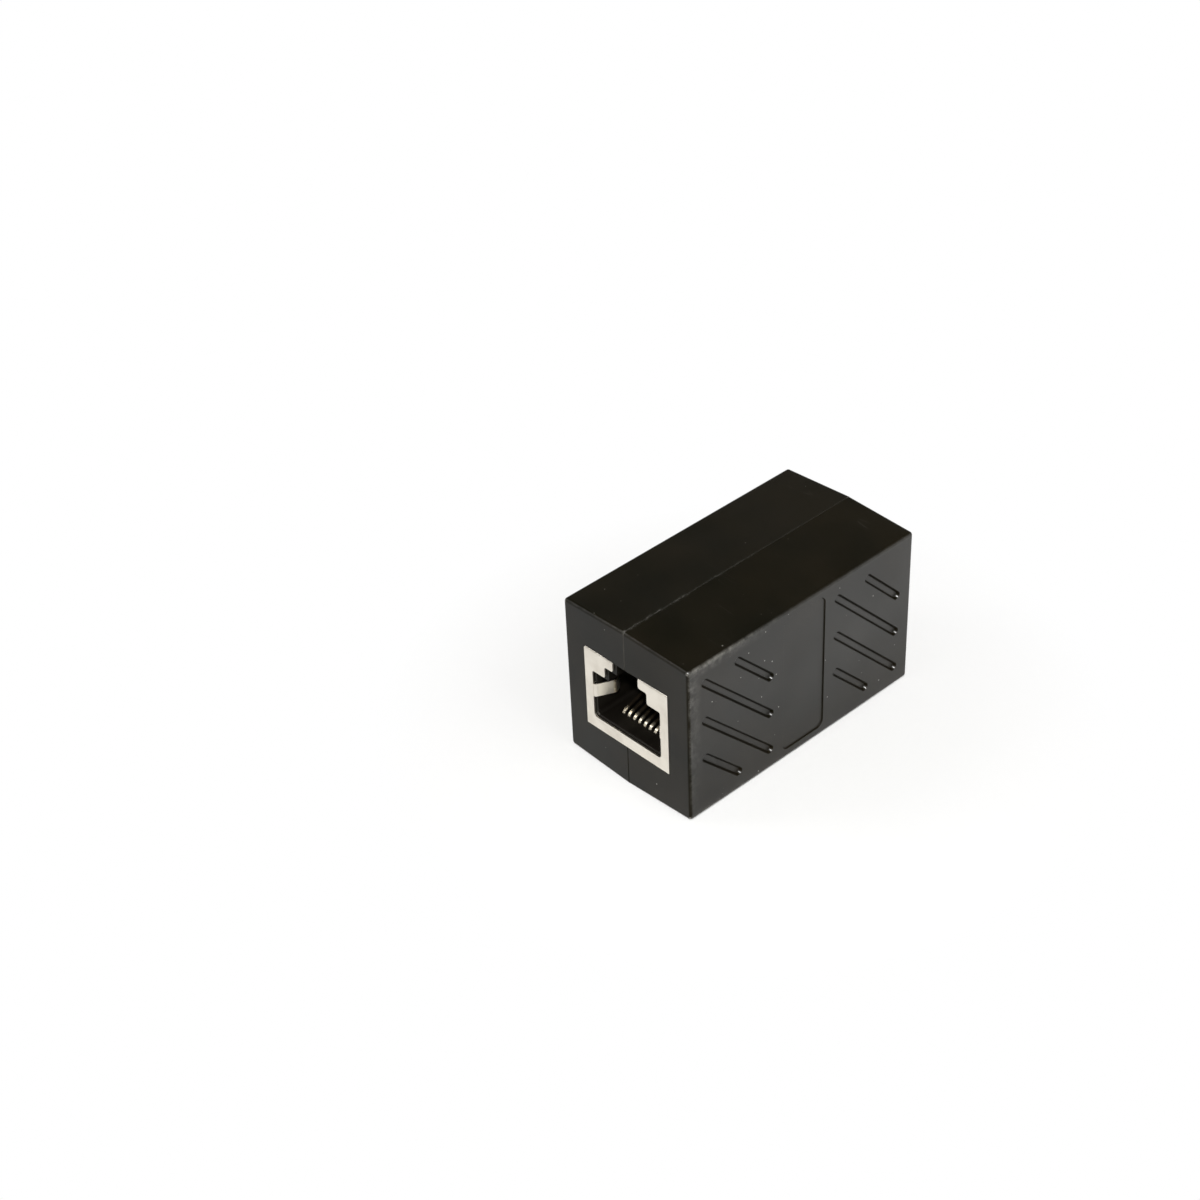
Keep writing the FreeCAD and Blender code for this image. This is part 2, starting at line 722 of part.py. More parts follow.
def add_finger(body, label, dims, sign):
    """A strip along the finger's line, with its section where it joins the face."""
    name = f"{label}_finger_{'right' if sign > 0 else 'left'}"
    steps = finger_steps(dims, sign)
    path = sketch_on(body, name + "_path", "XY_Plane", dims["finger_lift"])
    draw_path(path, steps)
    section = sketch_on(body, name + "_section", "YZ_Plane", steps[0][0])
    middle = dims["sheet"] / 2
    half_sheet = dims["finger_sheet"] / 2
    half_width = dims["finger_width"] / 2
    draw_rectangle(section, middle - half_sheet, dims["finger_lift"] - half_width,
                   middle + half_sheet, dims["finger_lift"] + half_width)
    sweep_strip(body, name, section, path)


def sweep_strip(body, name, section, path):
    """A section swept along a path, mitred where the path has a corner."""
    feature = body.newObject("PartDesign::AdditivePipe", name)
    feature.Profile = section
    feature.Spine = path
    feature.Transition = "Right corner"
    return feature


def build_insert(doc, dims, label):
    """The moulded insert: plug cavity, contact channels, comb and board posts."""
    body = new_body(doc, label)
    gap = dims["insert_gap"]
    half = dims["shield_width"] / 2 - dims["sheet"] - gap
    foot = -dims["shield_drop"]
    top = dims["shield_rise"] - dims["sheet"] - gap
    back = dims["shield_depth"] - dims["sheet"] - gap
    front = dims["insert_inset"]

    block = sketch_on(body, label + "_block_sketch", "XY_Plane", foot)
    draw_rectangle(block, -half, front, half, back)
    pad(body, label + "_block", block, top - foot)

    cavity = sketch_on(body, label + "_cavity_sketch", "XZ_Plane")
    draw_mouth(cavity, dims, dims["ledge"], top + gap, ZERO)
    pocket(body, label + "_cavity", cavity, dims["plug_depth"])

    cut_finger_channels(body, label, dims)
    cut_contact_channels(body, label, dims)
    cut_carrier_seat(body, label, dims, back)
    cut_rear_core(body, label, dims, back, half, top)

    posts = sketch_on(body, label + "_post_sketch", "XY_Plane", foot)
    for sign in (-1, 1):
        draw_circle(posts, dims["post_spacing"] / 2 * sign, dims["peg_place"], dims["post_diameter"])
    reach = dims["board_thick"] + dims["peg_reach"]
    pad(body, label + "_posts", posts, reach, backwards=True)
    return body


def finger_depth(dims):
    """The tip of a finger behind the metal face, with its clearance."""
    return finger_steps(dims, 1)[-1][1] + dims["sheet"]


def cut_finger_channels(body, label, dims):
    """Side channels that let the spring fingers fold in from the face and flex."""
    sketch = sketch_on(body, label + "_finger_sketch", "XZ_Plane")
    inner = dims["mouth_width"] / 2 - dims["ledge"] - dims["sheet"]
    outer = dims["mouth_width"] / 2 + dims["finger_bend"]
    half = dims["finger_width"] / 2 + dims["contact_gap"]
    lift = dims["finger_lift"]
    draw_rectangle(sketch, inner, lift - half, outer, lift + half)
    draw_rectangle(sketch, -outer, lift - half, -inner, lift + half)
    pocket(body, label + "_finger_channels", sketch, finger_depth(dims))


def arm_end(dims):
    """The free end of a contact: its place behind the face and its height."""
    points = contact_points(dims, 0)
    return points["end"]


def cut_contact_channels(body, label, dims):
    """Channels under the floor, slots through it and the comb, one set for each contact."""
    foot = -dims["shield_drop"]
    first = contact_place(dims, 0)
    half = dims["contact_width"] / 2 + dims["contact_gap"]
    gap = dims["contact_gap"]
    front = dims["contact_inset"] - gap

    under = sketch_on(body, label + "_channel_sketch", "XY_Plane", foot)
    draw_rectangle(under, first - half, front, first + half, dims["carrier_front"])
    height = dims["shield_drop"] - dims["contact_run"] + dims["contact_thick"] / 2 + gap
    channel = pocket(body, label + "_channel", under, height, backwards=True)

    through = sketch_on(body, label + "_slot_sketch", "XY_Plane", foot)
    draw_rectangle(through, first - half, front, first + half, dims["arm_slot_end"])
    rise = dims["shield_drop"] - dims["mouth_floor"] + dims["ledge"] + gap
    slot = pocket(body, label + "_slot", through, rise, backwards=True)

    stop = sketch_on(body, label + "_comb_sketch", "XZ_Plane", -dims["plug_depth"] + gap)
    _, height = arm_end(dims)
    draw_rectangle(stop, first - half, height - dims["comb_travel"], first + half, height + dims["comb_travel"])
    comb = pocket(body, label + "_comb", stop, dims["comb_depth"] + gap)
    repeat_across(body, label + "_contact_rows", [channel, slot, comb], dims)


def carrier_half(dims):
    return contact_field(dims) / 2 + dims["carrier_margin"]


def cut_carrier_seat(body, label, dims, back):
    """The seat for the contact carrier, open below and behind."""
    sketch = sketch_on(body, label + "_seat_sketch", "XY_Plane", -dims["shield_drop"])
    gap = dims["carrier_gap"]
    half = carrier_half(dims) + gap
    draw_rectangle(sketch, -half, dims["carrier_front"] - gap, half, back + gap)
    pocket(body, label + "_seat", sketch, dims["carrier_height"] + gap, backwards=True)


def cut_rear_core(body, label, dims, back, half, top):
    """The moulding is cored out from behind, above the carrier."""
    wall = dims["core_wall"]
    sketch = sketch_on(body, label + "_core_sketch", "XZ_Plane", -back)
    floor = dims["carrier_height"] - dims["shield_drop"] + dims["carrier_gap"] + wall
    draw_rectangle(sketch, -half + wall, floor, half - wall, top - wall)
    depth = back - dims["plug_depth"] - dims["comb_depth"] - wall
    pocket(body, label + "_core", sketch, depth, backwards=True)


def build_carrier(doc, dims, label):
    """The block that holds the eight contacts in line above the board."""
    body = new_body(doc, label)
    gap = dims["carrier_gap"]
    foot = -dims["shield_drop"] + gap
    back = dims["shield_depth"] - dims["sheet"] - dims["insert_gap"]
    block = sketch_on(body, label + "_block_sketch", "XY_Plane", foot)
    half = carrier_half(dims)
    draw_rectangle(block, -half, dims["carrier_front"], half, back)
    pad(body, label + "_block", block, dims["carrier_height"] - gap)

    slots = sketch_on(body, label + "_slot_sketch", "XY_Plane", foot)
    first = contact_place(dims, 0)
    half = dims["contact_width"] / 2 + gap
    end = dims["tail_front"] + dims["tail_step"] + dims["contact_thick"] / 2 + gap
    draw_rectangle(slots, first - half, dims["carrier_front"], first + half, end)
    rise = dims["shield_drop"] - dims["contact_run"] + dims["contact_thick"] / 2
    slot = pocket(body, label + "_slot", slots, rise, backwards=True)
    repeat_across(body, label + "_slots", [slot], dims)
    return body


def contact_points(dims, index):
    """The bent wire's middle line: tail, lower run, front bend and rising free arm."""
    bend = dims["contact_bend"]
    rise = dims["arm_rise"]
    run = -dims["contact_run"]
    tail = tail_place(dims, index)
    front = dims["contact_inset"] + dims["contact_thick"] / 2 + bend
    centre = (front, run + bend)
    lift_off = (front - bend * sine(rise), run + bend + bend * cosine(rise))
    end_y = dims["plug_depth"] + dims["comb_depth"] - dims["contact_gap"] * 2
    end_z = lift_off[1] + (end_y - lift_off[0]) * sine(rise) / cosine(rise)
    return {
        "foot": (tail, board_foot(dims) - dims["tail_reach"]),
        "tail_top": (tail, run),
        "run_front": (front, run),
        "centre": centre,
        "lift_off": lift_off,
        "end": (end_y, end_z),
    }


def build_contact(doc, dims, label, index):
    """One contact, a flat wire swept along its bent line."""
    body = new_body(doc, label)
    points = contact_points(dims, index)
    place = contact_place(dims, index)
    path = sketch_on(body, label + "_path", "YZ_Plane", place)
    draw_path(path, [
        points["foot"], points["tail_top"], points["run_front"],
        (*points["lift_off"], points["centre"], dims["contact_bend"], False),
        points["end"],
    ])
    tail, foot = points["foot"]
    section = sketch_on(body, label + "_section", "XY_Plane", foot)
    half_width = dims["contact_width"] / 2
    half_thick = dims["contact_thick"] / 2
    draw_rectangle(section, place - half_width, tail - half_thick, place + half_width, tail + half_thick)
    sweep_strip(body, label + "_wire", section, path)
    return body


def place_in_socket(body, dims, turn):
    """Puts a piece of a socket at its end of the coupler; socket B is turned half round."""
    angle = 0 if turn > 0 else 180
    body.Placement = FreeCAD.Placement(FreeCAD.Vector(), FreeCAD.Rotation(FreeCAD.Vector(0, 0, 1), angle))
    body.setExpression(".Placement.Base.y", (-face_place(dims) * turn).formula)
    body.setExpression(".Placement.Base.z", middle_height(dims).formula)


def build_socket(doc, dims, letter, turn):
    """Shield, insert, carrier and contacts of one end."""
    bodies = [
        build_shield(doc, dims, f"shield_{letter}"),
        build_insert(doc, dims, f"insert_{letter}"),
        build_carrier(doc, dims, f"carrier_{letter}"),
    ]
    for index in range(int(dims["contact_count"].value)):
        bodies.append(build_contact(doc, dims, f"contact_{letter}{index + 1}", index))
    for body in bodies:
        place_in_socket(body, dims, turn)
    return bodies


# Checks and files

def check_features(doc):
    """Stops if an object failed, or if a cut took nothing away."""
    for item in doc.Objects:
        if "Invalid" in item.State or "Error" in item.State:
            raise RuntimeError(f"{item.Name} failed: {item.State}")
        if item.TypeId == "PartDesign::Pocket" and not cuts_something(item):
            raise RuntimeError(f"{item.Name} cuts nothing")


def cuts_something(item):
    return item.Shape.Volume < item.BaseFeature.Shape.Volume - 1e-6


def write_parts(bodies):
    os.makedirs(PARTS_FOLDER, exist_ok=True)
    for body in bodies:
        shape = body.Shape
        if shape.isNull() or not shape.isValid() or len(shape.Solids) != 1:
            raise RuntimeError(f"{body.Label} is not one valid solid")
    for body in bodies:
        body.Shape.exportStep(f"{PARTS_FOLDER}/{body.Label}.step")
        print(f"{body.Label}: {body.Shape.Volume:.1f} mm3")


def main():
    doc = FreeCAD.newDocument("coupler")
    dims = fill_sheet(doc)
    half_height = dims["body_height"] / 2
    bodies = [
        build_shell(doc, dims, "shell_right", 1, half_height),
        build_shell(doc, dims, "shell_left", -1, half_height + dims["seam_step"]),
        build_board(doc, dims),
    ]
    bodies += build_socket(doc, dims, "a", 1)
    bodies += build_socket(doc, dims, "b", -1)
    doc.recompute()
    check_features(doc)
    write_parts(bodies)


main()
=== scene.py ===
"""Looks of an inline network coupler: two black moulded half shells with a shielded socket at each end.

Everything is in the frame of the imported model: X across the coupler, Y along its plugs and Z
up, with the origin in the middle of the underside. Socket A is toward -Y and socket B toward
+Y. Sizes are in millimetres, and a mesh is turned into metres as it is made.
"""

from __future__ import annotations

import logging
from dataclasses import dataclass, field
from enum import Enum

import bpy
import numpy as np
from mathutils import Matrix, Vector

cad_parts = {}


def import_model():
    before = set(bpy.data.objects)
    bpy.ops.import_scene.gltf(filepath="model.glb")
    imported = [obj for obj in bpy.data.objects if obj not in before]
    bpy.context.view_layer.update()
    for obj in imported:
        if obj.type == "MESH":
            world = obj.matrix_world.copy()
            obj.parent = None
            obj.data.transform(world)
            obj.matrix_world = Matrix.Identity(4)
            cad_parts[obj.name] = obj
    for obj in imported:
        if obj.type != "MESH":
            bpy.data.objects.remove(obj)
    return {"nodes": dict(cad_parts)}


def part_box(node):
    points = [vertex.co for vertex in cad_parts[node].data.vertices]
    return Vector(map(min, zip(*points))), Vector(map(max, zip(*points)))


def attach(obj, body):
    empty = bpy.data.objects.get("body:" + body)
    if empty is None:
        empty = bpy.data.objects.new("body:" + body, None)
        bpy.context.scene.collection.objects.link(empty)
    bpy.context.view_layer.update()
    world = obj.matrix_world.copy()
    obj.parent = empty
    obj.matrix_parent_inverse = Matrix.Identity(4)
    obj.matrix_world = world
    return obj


MM = 0.001
LOG = logging.getLogger("coupler")

Band = tuple[float, float]
Colour = tuple[float, float, float]
Material = bpy.types.Material
NodeSocket = bpy.types.NodeSocket
Piece = bpy.types.Object


class Half(Enum):
    """The two half shells, each with the side of the seam that it lies on."""

    LEFT = -1
    RIGHT = 1


class End(Enum):
    """The two sockets, each with the way along Y that it faces."""

    A = -1
    B = 1


# Nodes of a material


class NodeSheet:
    """A material's nodes, made one after another.

    x, y and z are the place in millimetres in the model's frame, and across and along are x and
    y without their signs. facing_x, facing_y and facing_z are the surface's direction without
    signs, and facing_across is how far it looks across the slanting grooves.
    """

    usual_noise: Band = (0.3, 0.7)
    speck_edge: float = 0.03
    scratch_draw: float = 0.02
    scratch_gaps: Band = (0.58, 0.66)

    def __init__(self, name: str) -> None:
        """Starts a material whose surface is one Principled shader.

        Args:
            name: The material's name.
        """
        self.material = bpy.data.materials.new(name)
        self.material.use_nodes = True
        self.tree = self.material.node_tree
        self.tree.nodes.clear()
        self.shader = self.tree.nodes.new("ShaderNodeBsdfPrincipled")
        self.surface = self.tree.nodes.new("ShaderNodeOutputMaterial").inputs["Surface"]
        self.tree.links.new(self.shader.outputs["BSDF"], self.surface)
        self.place = self.scaled(self.add("TexCoord").outputs["Object"], (1 / MM, 1 / MM, 1 / MM))
        self.x, self.y, self.z = self.parts(self.place)
        self.across, self.along = self.absolute(self.x), self.absolute(self.y)
        facing = self.parts(self.add("TexCoord").outputs["Normal"])
        self.facing_x, self.facing_y, self.facing_z = (self.absolute(part) for part in facing)
        self.facing_across = self.absolute(self.total(facing[1], facing[2]))

    def add(self, kind: str, **settings: object) -> bpy.types.Node:
        """Adds a node.

        Args:
            kind: The node's type, without its ShaderNode prefix.
            **settings: Properties of the node.

        Returns:
            The new node.
        """
        node = self.tree.nodes.new("ShaderNode" + kind)
        for key, value in settings.items():
            setattr(node, key, value)
        return node

    def feed(self, socket: NodeSocket, value: object) -> None:
        """Links an output to an input, or sets the input to a plain value.

        Args:
            socket: The input.
            value: A node's output, or a plain value.
        """
        if isinstance(value, NodeSocket):
            self.tree.links.new(value, socket)
        else:
            socket.default_value = value

    def set(self, name: str, value: object) -> None:
        """Feeds an input of the shader, by its name."""
        self.feed(self.shader.inputs[name], value)

    def parts(self, vector: NodeSocket) -> list[NodeSocket]:
        """Takes a vector apart.

        Args:
            vector: The vector.

        Returns:
            Its X, Y and Z.
        """
        node = self.add("SeparateXYZ")
        self.feed(node.inputs[0], vector)
        return list(node.outputs)

    def math(self, operation: str, *values: object) -> NodeSocket:
        """Adds a Math node.

        Args:
            operation: What the node does.
            *values: Its one or two values.

        Returns:
            The result.
        """
        node = self.add("Math", operation=operation)
        for socket, value in zip(node.inputs, values):
            self.feed(socket, value)
        return node.outputs[0]

    def chain(self, operation: str, values: tuple[object, ...]) -> NodeSocket:
        """Joins two or more values by one operation, from left to right.

        Args:
            operation: What each Math node does.
            values: The values.

        Returns:
            The result of the last node.
        """
        result = values[0]
        for value in values[1:]:
            result = self.math(operation, result, value)
        return result

    def total(self, *values: object) -> NodeSocket:
        """The sum of two or more values."""
        return self.chain("ADD", values)

    def less(self, first: object, second: object) -> NodeSocket:
        """The first value less the second."""
        return self.math("SUBTRACT", first, second)

    def product(self, *values: object) -> NodeSocket:
        """The product of two or more values."""
        return self.chain("MULTIPLY", values)

    def largest(self, *values: object) -> NodeSocket:
        """The largest of two or more values."""
        return self.chain("MAXIMUM", values)

    def absolute(self, value: object) -> NodeSocket:
        """A value without its sign."""
        return self.math("ABSOLUTE", value)

    def span(
        self, value: object, low: float, high: float, start: object = 0.0, end: object = 1.0
    ) -> NodeSocket:
        """Maps low..high to start..end and holds it there beyond.

        Args:
            value: The value to map.
            low: Where the result is start.
            high: Where the result is end. It may be less than low.
            start: The result at low and before it.
            end: The result at high and beyond it.

        Returns:
            The mapped value.
        """
        node = self.add("MapRange")
        names = ("Value", "From Min", "From Max", "To Min", "To Max")
        for name, number in zip(names, (value, low, high, start, end)):
            self.feed(node.inputs[name], number)
        return node.outputs["Result"]

    def vary(self, noise: NodeSocket, start: float, end: float) -> NodeSocket:
        """Carries the usual range of a noise over to start..end."""
        return self.span(noise, *self.usual_noise, start, end)

    def scaled(
        self, place: NodeSocket, factors: tuple[float, float, float], turn: float = 0.0
    ) -> NodeSocket:
        """Coordinates stretched and then turned about Z.

        Args:
            place: The coordinates.
            factors: One factor for each axis.
            turn: Angle in radians.

        Returns:
            The new coordinates.
        """
        node = self.add("Mapping", vector_type="POINT")
        self.feed(node.inputs["Vector"], place)
        node.inputs["Scale"].default_value = factors
        node.inputs["Rotation"].default_value = (0.0, 0.0, turn)
        return node.outputs["Vector"]

    def noise(
        self, size: float, detail: float = 2.0, roughness: float = 0.5, place: NodeSocket | None = None
    ) -> NodeSocket:
        """Noise in the piece's own space.

        Args:
            size: Length of its largest waves in millimetres.
            detail: Octaves.
            roughness: How strong the finer octaves are.
            place: Coordinates to use in place of the plain ones.

        Returns:
            The noise, from 0 to 1 and mostly between 0.3 and 0.7.
        """
        node = self.add("TexNoise")
        self.feed(node.inputs["Vector"], place or self.place)
        node.inputs["Scale"].default_value = 1.0 / size
        node.inputs["Detail"].default_value = detail
        node.inputs["Roughness"].default_value = roughness
        return node.outputs["Fac"]

    def specks(self, size: float, share: float, reach: float) -> NodeSocket:
        """Small spots in the middle of some of a pattern's cells.

        Args:
            size: Size of a cell in millimetres.
            share: Share of the cells that carry a spot.
            reach: Radius of the largest spot, as a share of size.

        Returns:
            1 on a spot and 0 between them.
        """
        cells = self.add("TexVoronoi", feature="F1")
        self.feed(cells.inputs["Vector"], self.place)
        cells.inputs["Scale"].default_value = 1.0 / size
        chance = self.add("SeparateColor")
        self.feed(chance.inputs[0], cells.outputs["Color"])
        radius = self.span(chance.outputs[0], 1.0 - share, 1.0, 0.0, reach)
        return self.span(self.less(radius, cells.outputs["Distance"]), 0.0, self.speck_edge)

    def hairlines(self, size: float, turn: float, width: float) -> NodeSocket:
        """Fine scratches along X: lines of equal height of a noise that is drawn out that way.

        Args:
            size: Distance between the lines in millimetres.
            turn: Turn of the drawn-out noise about Z in radians, which sets where the scratches lie.
            width: Half width of a line, in the noise's own steps.

        Returns:
            1 on a scratch and 0 between them.
        """
        drawn_place = self.scaled(self.place, (self.scratch_draw, 1.0, 1.0), turn)
        drawn = self.noise(size, detail=1.0, roughness=0.4, place=drawn_place)
        line = self.span(self.absolute(self.less(drawn, 0.5)), width, width * 0.3)
        return self.product(line, self.span(self.noise(size * 1.7, detail=3.0), *self.scratch_gaps))

    def blend(self, factor: object, first: object, second: object) -> NodeSocket:
        """Mixes two colours.

        Args:
            factor: How much of the second colour there is, from 0 to 1.
            first: The colour at 0, as a node's output or as red, green and blue.
            second: The colour at 1.

        Returns:
            The mixed colour.
        """
        node = self.add("Mix", data_type="RGBA")
        colours = [value if isinstance(value, NodeSocket) else (*value, 1.0) for value in (first, second)]
        for socket, value in zip((node.inputs[0], node.inputs[6], node.inputs[7]), (factor, *colours)):
            self.feed(socket, value)
        return node.outputs[2]

    def relief(self, height: NodeSocket, depth: float) -> None:
        """Bumps the surface.

        Args:
            height: The height, where 1 stands out by the depth.
            depth: The depth in millimetres.
        """
        node = self.add("Bump")
        node.inputs["Distance"].default_value = depth * MM
        self.feed(node.inputs["Height"], height)
        self.set("Normal", node.outputs["Normal"])


# Finishes


@dataclass(frozen=True)
class Insets:
    """How far in a place lies from the coupler's outer faces, in millimetres.

    side is measured from the nearer label side, end from the nearer end, level from the top or
    the underside, and from_a from socket A's end.
    """

    side: NodeSocket
    end: NodeSocket
    level: NodeSocket
    from_a: NodeSocket


@dataclass(frozen=True)
class CasingPlastic:
    """Satin black moulding: fine grain, smudges, specks, dust in the upper seam and rubbed edges, with a
    painted highlight on the corners at socket A and painted light in the seam above the sockets.

    A band holds where something starts and where it is full: groove_band is measured in from a
    label side, facing_band is a part of the surface's direction, and handled_band is a stretch
    of Y toward socket A, where the coupler is rubbed and dusty.
    """

    name: str = "casing_plastic"
    tone: Colour = (0.0036, 0.0032, 0.0011)
    cloud: Colour = (0.0085, 0.0065, 0.0030)
    cloud_size: float = 9.0
    rubbed: Colour = (0.100, 0.096, 0.084)
    dust: Colour = (0.46, 0.445, 0.41)
    gloss: float = 0.36
    smudge: Band = (-0.012, 0.018)
    smudge_size: float = 6.0
    duller: float = 0.1
    shine: float = 0.44
    haze_size: float = 14.0
    dull_shine: float = 0.15
    end_shine: float = 0.5
    groove_end_shine: float = 2.2
    grain_size: float = 0.17
    grain_depth: float = 0.003
    wave_size: float = 8.0
    wave_depth: float = 3.0
    scratch_strength: float = 0.22
    crest_wear: float = 0.4
    upright_wear: float = 0.1
    speck_strength: float = 0.7
    top_speck_strength: float = 0.6
    smear_strength: float = 0.2
    # strength of the painted light in the seam above the sockets
    seam_fill_light_strength: float = 0.1
    half_width: float = 11.7
    half_length: float = 21.95
    half_height: float = 12.92
    middle: float = 12.96
    side_drop: float = 0.45
    label_to: float = 5.0
    groove_band: Band = (0.6, 0.5)
    facing_band: Band = (0.6, 0.9)
    handled_band: Band = (-4.0, -17.0)

    def material(self) -> Material:
        """Builds the material.

        The colour goes from tone to cloud by a slow noise and toward socket B, from there to rubbed where
        an edge is worn, and last to dust, which also paints a highlight on the corners at socket A and
        light into the seam above the sockets. Smudges change the roughness, and the specular level falls
        on the ends and in dull places.

        Returns:
            The material.
        """
        sheet = NodeSheet(self.name)
        inset = self.insets(sheet)
        clouds = sheet.total(
            sheet.span(sheet.noise(self.cloud_size, detail=3.0), 0.35, 0.7),
            sheet.span(sheet.y, -5.0, 20.0, 0.0, 0.5),
        )
        colour = sheet.blend(clouds, self.tone, self.cloud)
        worn = sheet.largest(self.scratches(sheet, inset), self.wear(sheet, inset))
        colour = sheet.blend(worn, colour, self.rubbed)
        # the dust colour also carries painted light: a highlight on the corners at socket A and a pale
        # line in the seam above the sockets
        sheet.set("Base Color", sheet.blend(self.dust_and_painted_light(sheet, inset), colour, self.dust))
        dull = self.dull_places(sheet, inset)
        ends = sheet.span(sheet.facing_y, *self.facing_band)
        smudges = sheet.noise(self.smudge_size, roughness=0.4)
        smudged = sheet.vary(smudges, *(self.gloss + change for change in self.smudge))
        extra = (sheet.product(place, self.duller) for place in (ends, dull))
        sheet.set("Roughness", sheet.total(smudged, *extra))
        level = sheet.product(
            sheet.vary(sheet.noise(self.haze_size, detail=1.0), self.shine * 1.1, self.shine * 0.9),
            self.side_shine(sheet, inset),
            sheet.span(dull, 0.0, 1.0, 1.0, self.dull_shine),
            sheet.span(ends, 0.0, 1.0, 1.0, self.end_shine),
        )
        sheet.set("Specular IOR Level", level)
        waves = sheet.product(sheet.noise(self.wave_size, detail=1.0), self.wave_depth)
        sheet.relief(sheet.total(sheet.noise(self.grain_size), waves), self.grain_depth)
        return sheet.material

    def insets(self, sheet: NodeSheet) -> Insets:
        """Measures in from the outer faces.

        The top and underside have draft: they fall toward the label sides by side_drop. That
        fall is taken out of the level.

        Args:
            sheet: The material's nodes.

        Returns:
            The distances.
        """
        fall = sheet.product(sheet.across, self.side_drop / self.half_width)
        rise = sheet.total(sheet.absolute(sheet.less(sheet.z, self.middle)), fall)
        return Insets(
            side=sheet.less(self.half_width, sheet.across),
            end=sheet.less(self.half_length, sheet.along),
            level=sheet.less(self.half_height, rise),
            from_a=sheet.total(sheet.y, self.half_length),
        )

    def side_shine(self, sheet: NodeSheet, inset: Insets) -> NodeSocket:
        """How the label sides' gloss changes.

        It is less near the table and more toward socket B. It is most at the grooves' ends,
        where the wall leans a little from the face and looks along the groove.

        Args:
            sheet: The material's nodes.
            inset: Distances in from the outer faces.

        Returns:
            A factor, 1 away from the label sides.
        """
        upward = sheet.span(sheet.z, 3.0, 14.0, 0.6, 1.0)
        along = sheet.span(sheet.y, -20.0, 21.0, 1.02, 1.3)
        face = sheet.span(sheet.facing_x, *self.facing_band, 1.0, sheet.product(upward, along))
        groove_end = sheet.product(
            sheet.span(sheet.facing_x, 0.97, 0.9),
            sheet.span(sheet.facing_x, 0.2, 0.35),
            sheet.span(sheet.facing_across, 0.3, 0.12),
            sheet.span(inset.side, *self.groove_band),
            sheet.span(sheet.along, self.label_to, self.label_to + 1.0),
        )
        return sheet.span(groove_end, 0.0, 1.0, face, self.groove_end_shine)

    def scratches(self, sheet: NodeSheet, inset: Insets) -> NodeSocket:
        """A few faint hairlines on the top and underside.

        Args:
            sheet: The material's nodes.
            inset: Distances in from the outer faces.

        Returns:
            How far each place is scratched, from 0 to 1.
        """
        flat = sheet.span(inset.level, 0.1, 0.02)
        lines = sheet.hairlines(size=3.1, turn=0.35, width=0.005)
        return sheet.product(lines, flat, self.scratch_strength)

    def wear(self, sheet: NodeSheet, inset: Insets) -> NodeSocket:
        """Rubbed patches along the outer edges, most of them on the upper edge of a label side.

        Args:
            sheet: The material's nodes.
            inset: Distances in from the outer faces.

        Returns:
            1 where the surface is rubbed and 0 elsewhere.
        """
        side = sheet.span(inset.side, 0.35, 0.06)
        end = sheet.span(inset.end, 0.4, 0.1)
        handled = sheet.span(sheet.y, *self.handled_band, 0.12, 1.0)
        corner = sheet.product(side, sheet.span(inset.level, 0.75, 0.3), handled)
        crest = sheet.product(end, sheet.span(inset.level, 0.25, 0.05), self.crest_wear)
        upright = sheet.product(side, end, self.upright_wear)
        patches = sheet.span(sheet.noise(1.1, detail=5.0, roughness=0.7), 0.40, 0.62)
        return sheet.product(sheet.largest(corner, crest, upright), patches)

    def dust_and_painted_light(self, sheet: NodeSheet, inset: Insets) -> NodeSocket:
        """All the dust, in the top seam, as specks and as smears, and the painted light: a pale line in
        the seam above the sockets and a painted highlight on the corners at socket A.

        Args:
            sheet: The material's nodes.
            inset: Distances in from the outer faces.

        Returns:
            How much of the pale dust colour each place takes, from 0 to 1.
        """
        return sheet.largest(
            self.seam_dust(sheet),
            self.seam_fill_light(sheet, inset),
            self.loose_specks(sheet, inset),
            self.smears(sheet, inset),
            self.painted_corner_highlight(sheet, inset),
        )

    def seam_dust(self, sheet: NodeSheet) -> NodeSocket:
        """Pale dust that lies here and there in the seam of the top face, more of it toward socket A.

        Args:
            sheet: The material's nodes.

        Returns:
            How thick the dust is, from 0 to 1.
        """
        ragged = sheet.span(sheet.noise(0.5, detail=3.0), 0.35, 0.65, -0.08, 0.12)
        crest = self.middle + self.half_height
        return sheet.product(
            sheet.span(sheet.total(sheet.across, ragged), 0.38, 0.06),
            sheet.span(sheet.z, crest - 0.5, crest - 0.3),
            sheet.span(sheet.noise(0.6, detail=4.0, roughness=0.78), 0.5, 0.66),
            sheet.span(sheet.y, 6.0, -14.0, 0.03, 0.2),
        )

    def seam_fill_light(self, sheet: NodeSheet, inset: Insets) -> NodeSocket:
        """Painted light: a faint pale line painted into the seam above the sockets, lightening the shade
        in it.

        Args:
            sheet: The material's nodes.
            inset: Distances in from the outer faces.

        Returns:
            How much of the pale colour it takes, from 0 to 1.
        """
        # painted light: pale colour in the seam above the sockets, against the shade that falls in it
        return sheet.product(
            sheet.span(sheet.across, 0.12, 0.04),
            sheet.span(sheet.z, 19.0, 20.5),
            sheet.span(inset.end, 0.9, 0.5),
            self.seam_fill_light_strength,
        )

    def loose_specks(self, sheet: NodeSheet, inset: Insets) -> NodeSocket:
        """Specks of dust all over, and more of them on the top toward socket A.

        Args:
            sheet: The material's nodes.
            inset: Distances in from the outer faces.

        Returns:
            How thick the dust is, from 0 to 1.
        """
        all_over = sheet.product(sheet.specks(size=0.9, share=0.07, reach=0.12), self.speck_strength)
        on_top = sheet.product(
            sheet.specks(size=0.75, share=0.12, reach=0.12),
            sheet.span(inset.level, 0.3, 0.1),
            sheet.span(sheet.y, 0.0, -14.0),
            self.top_speck_strength,
        )
        return sheet.largest(all_over, on_top)

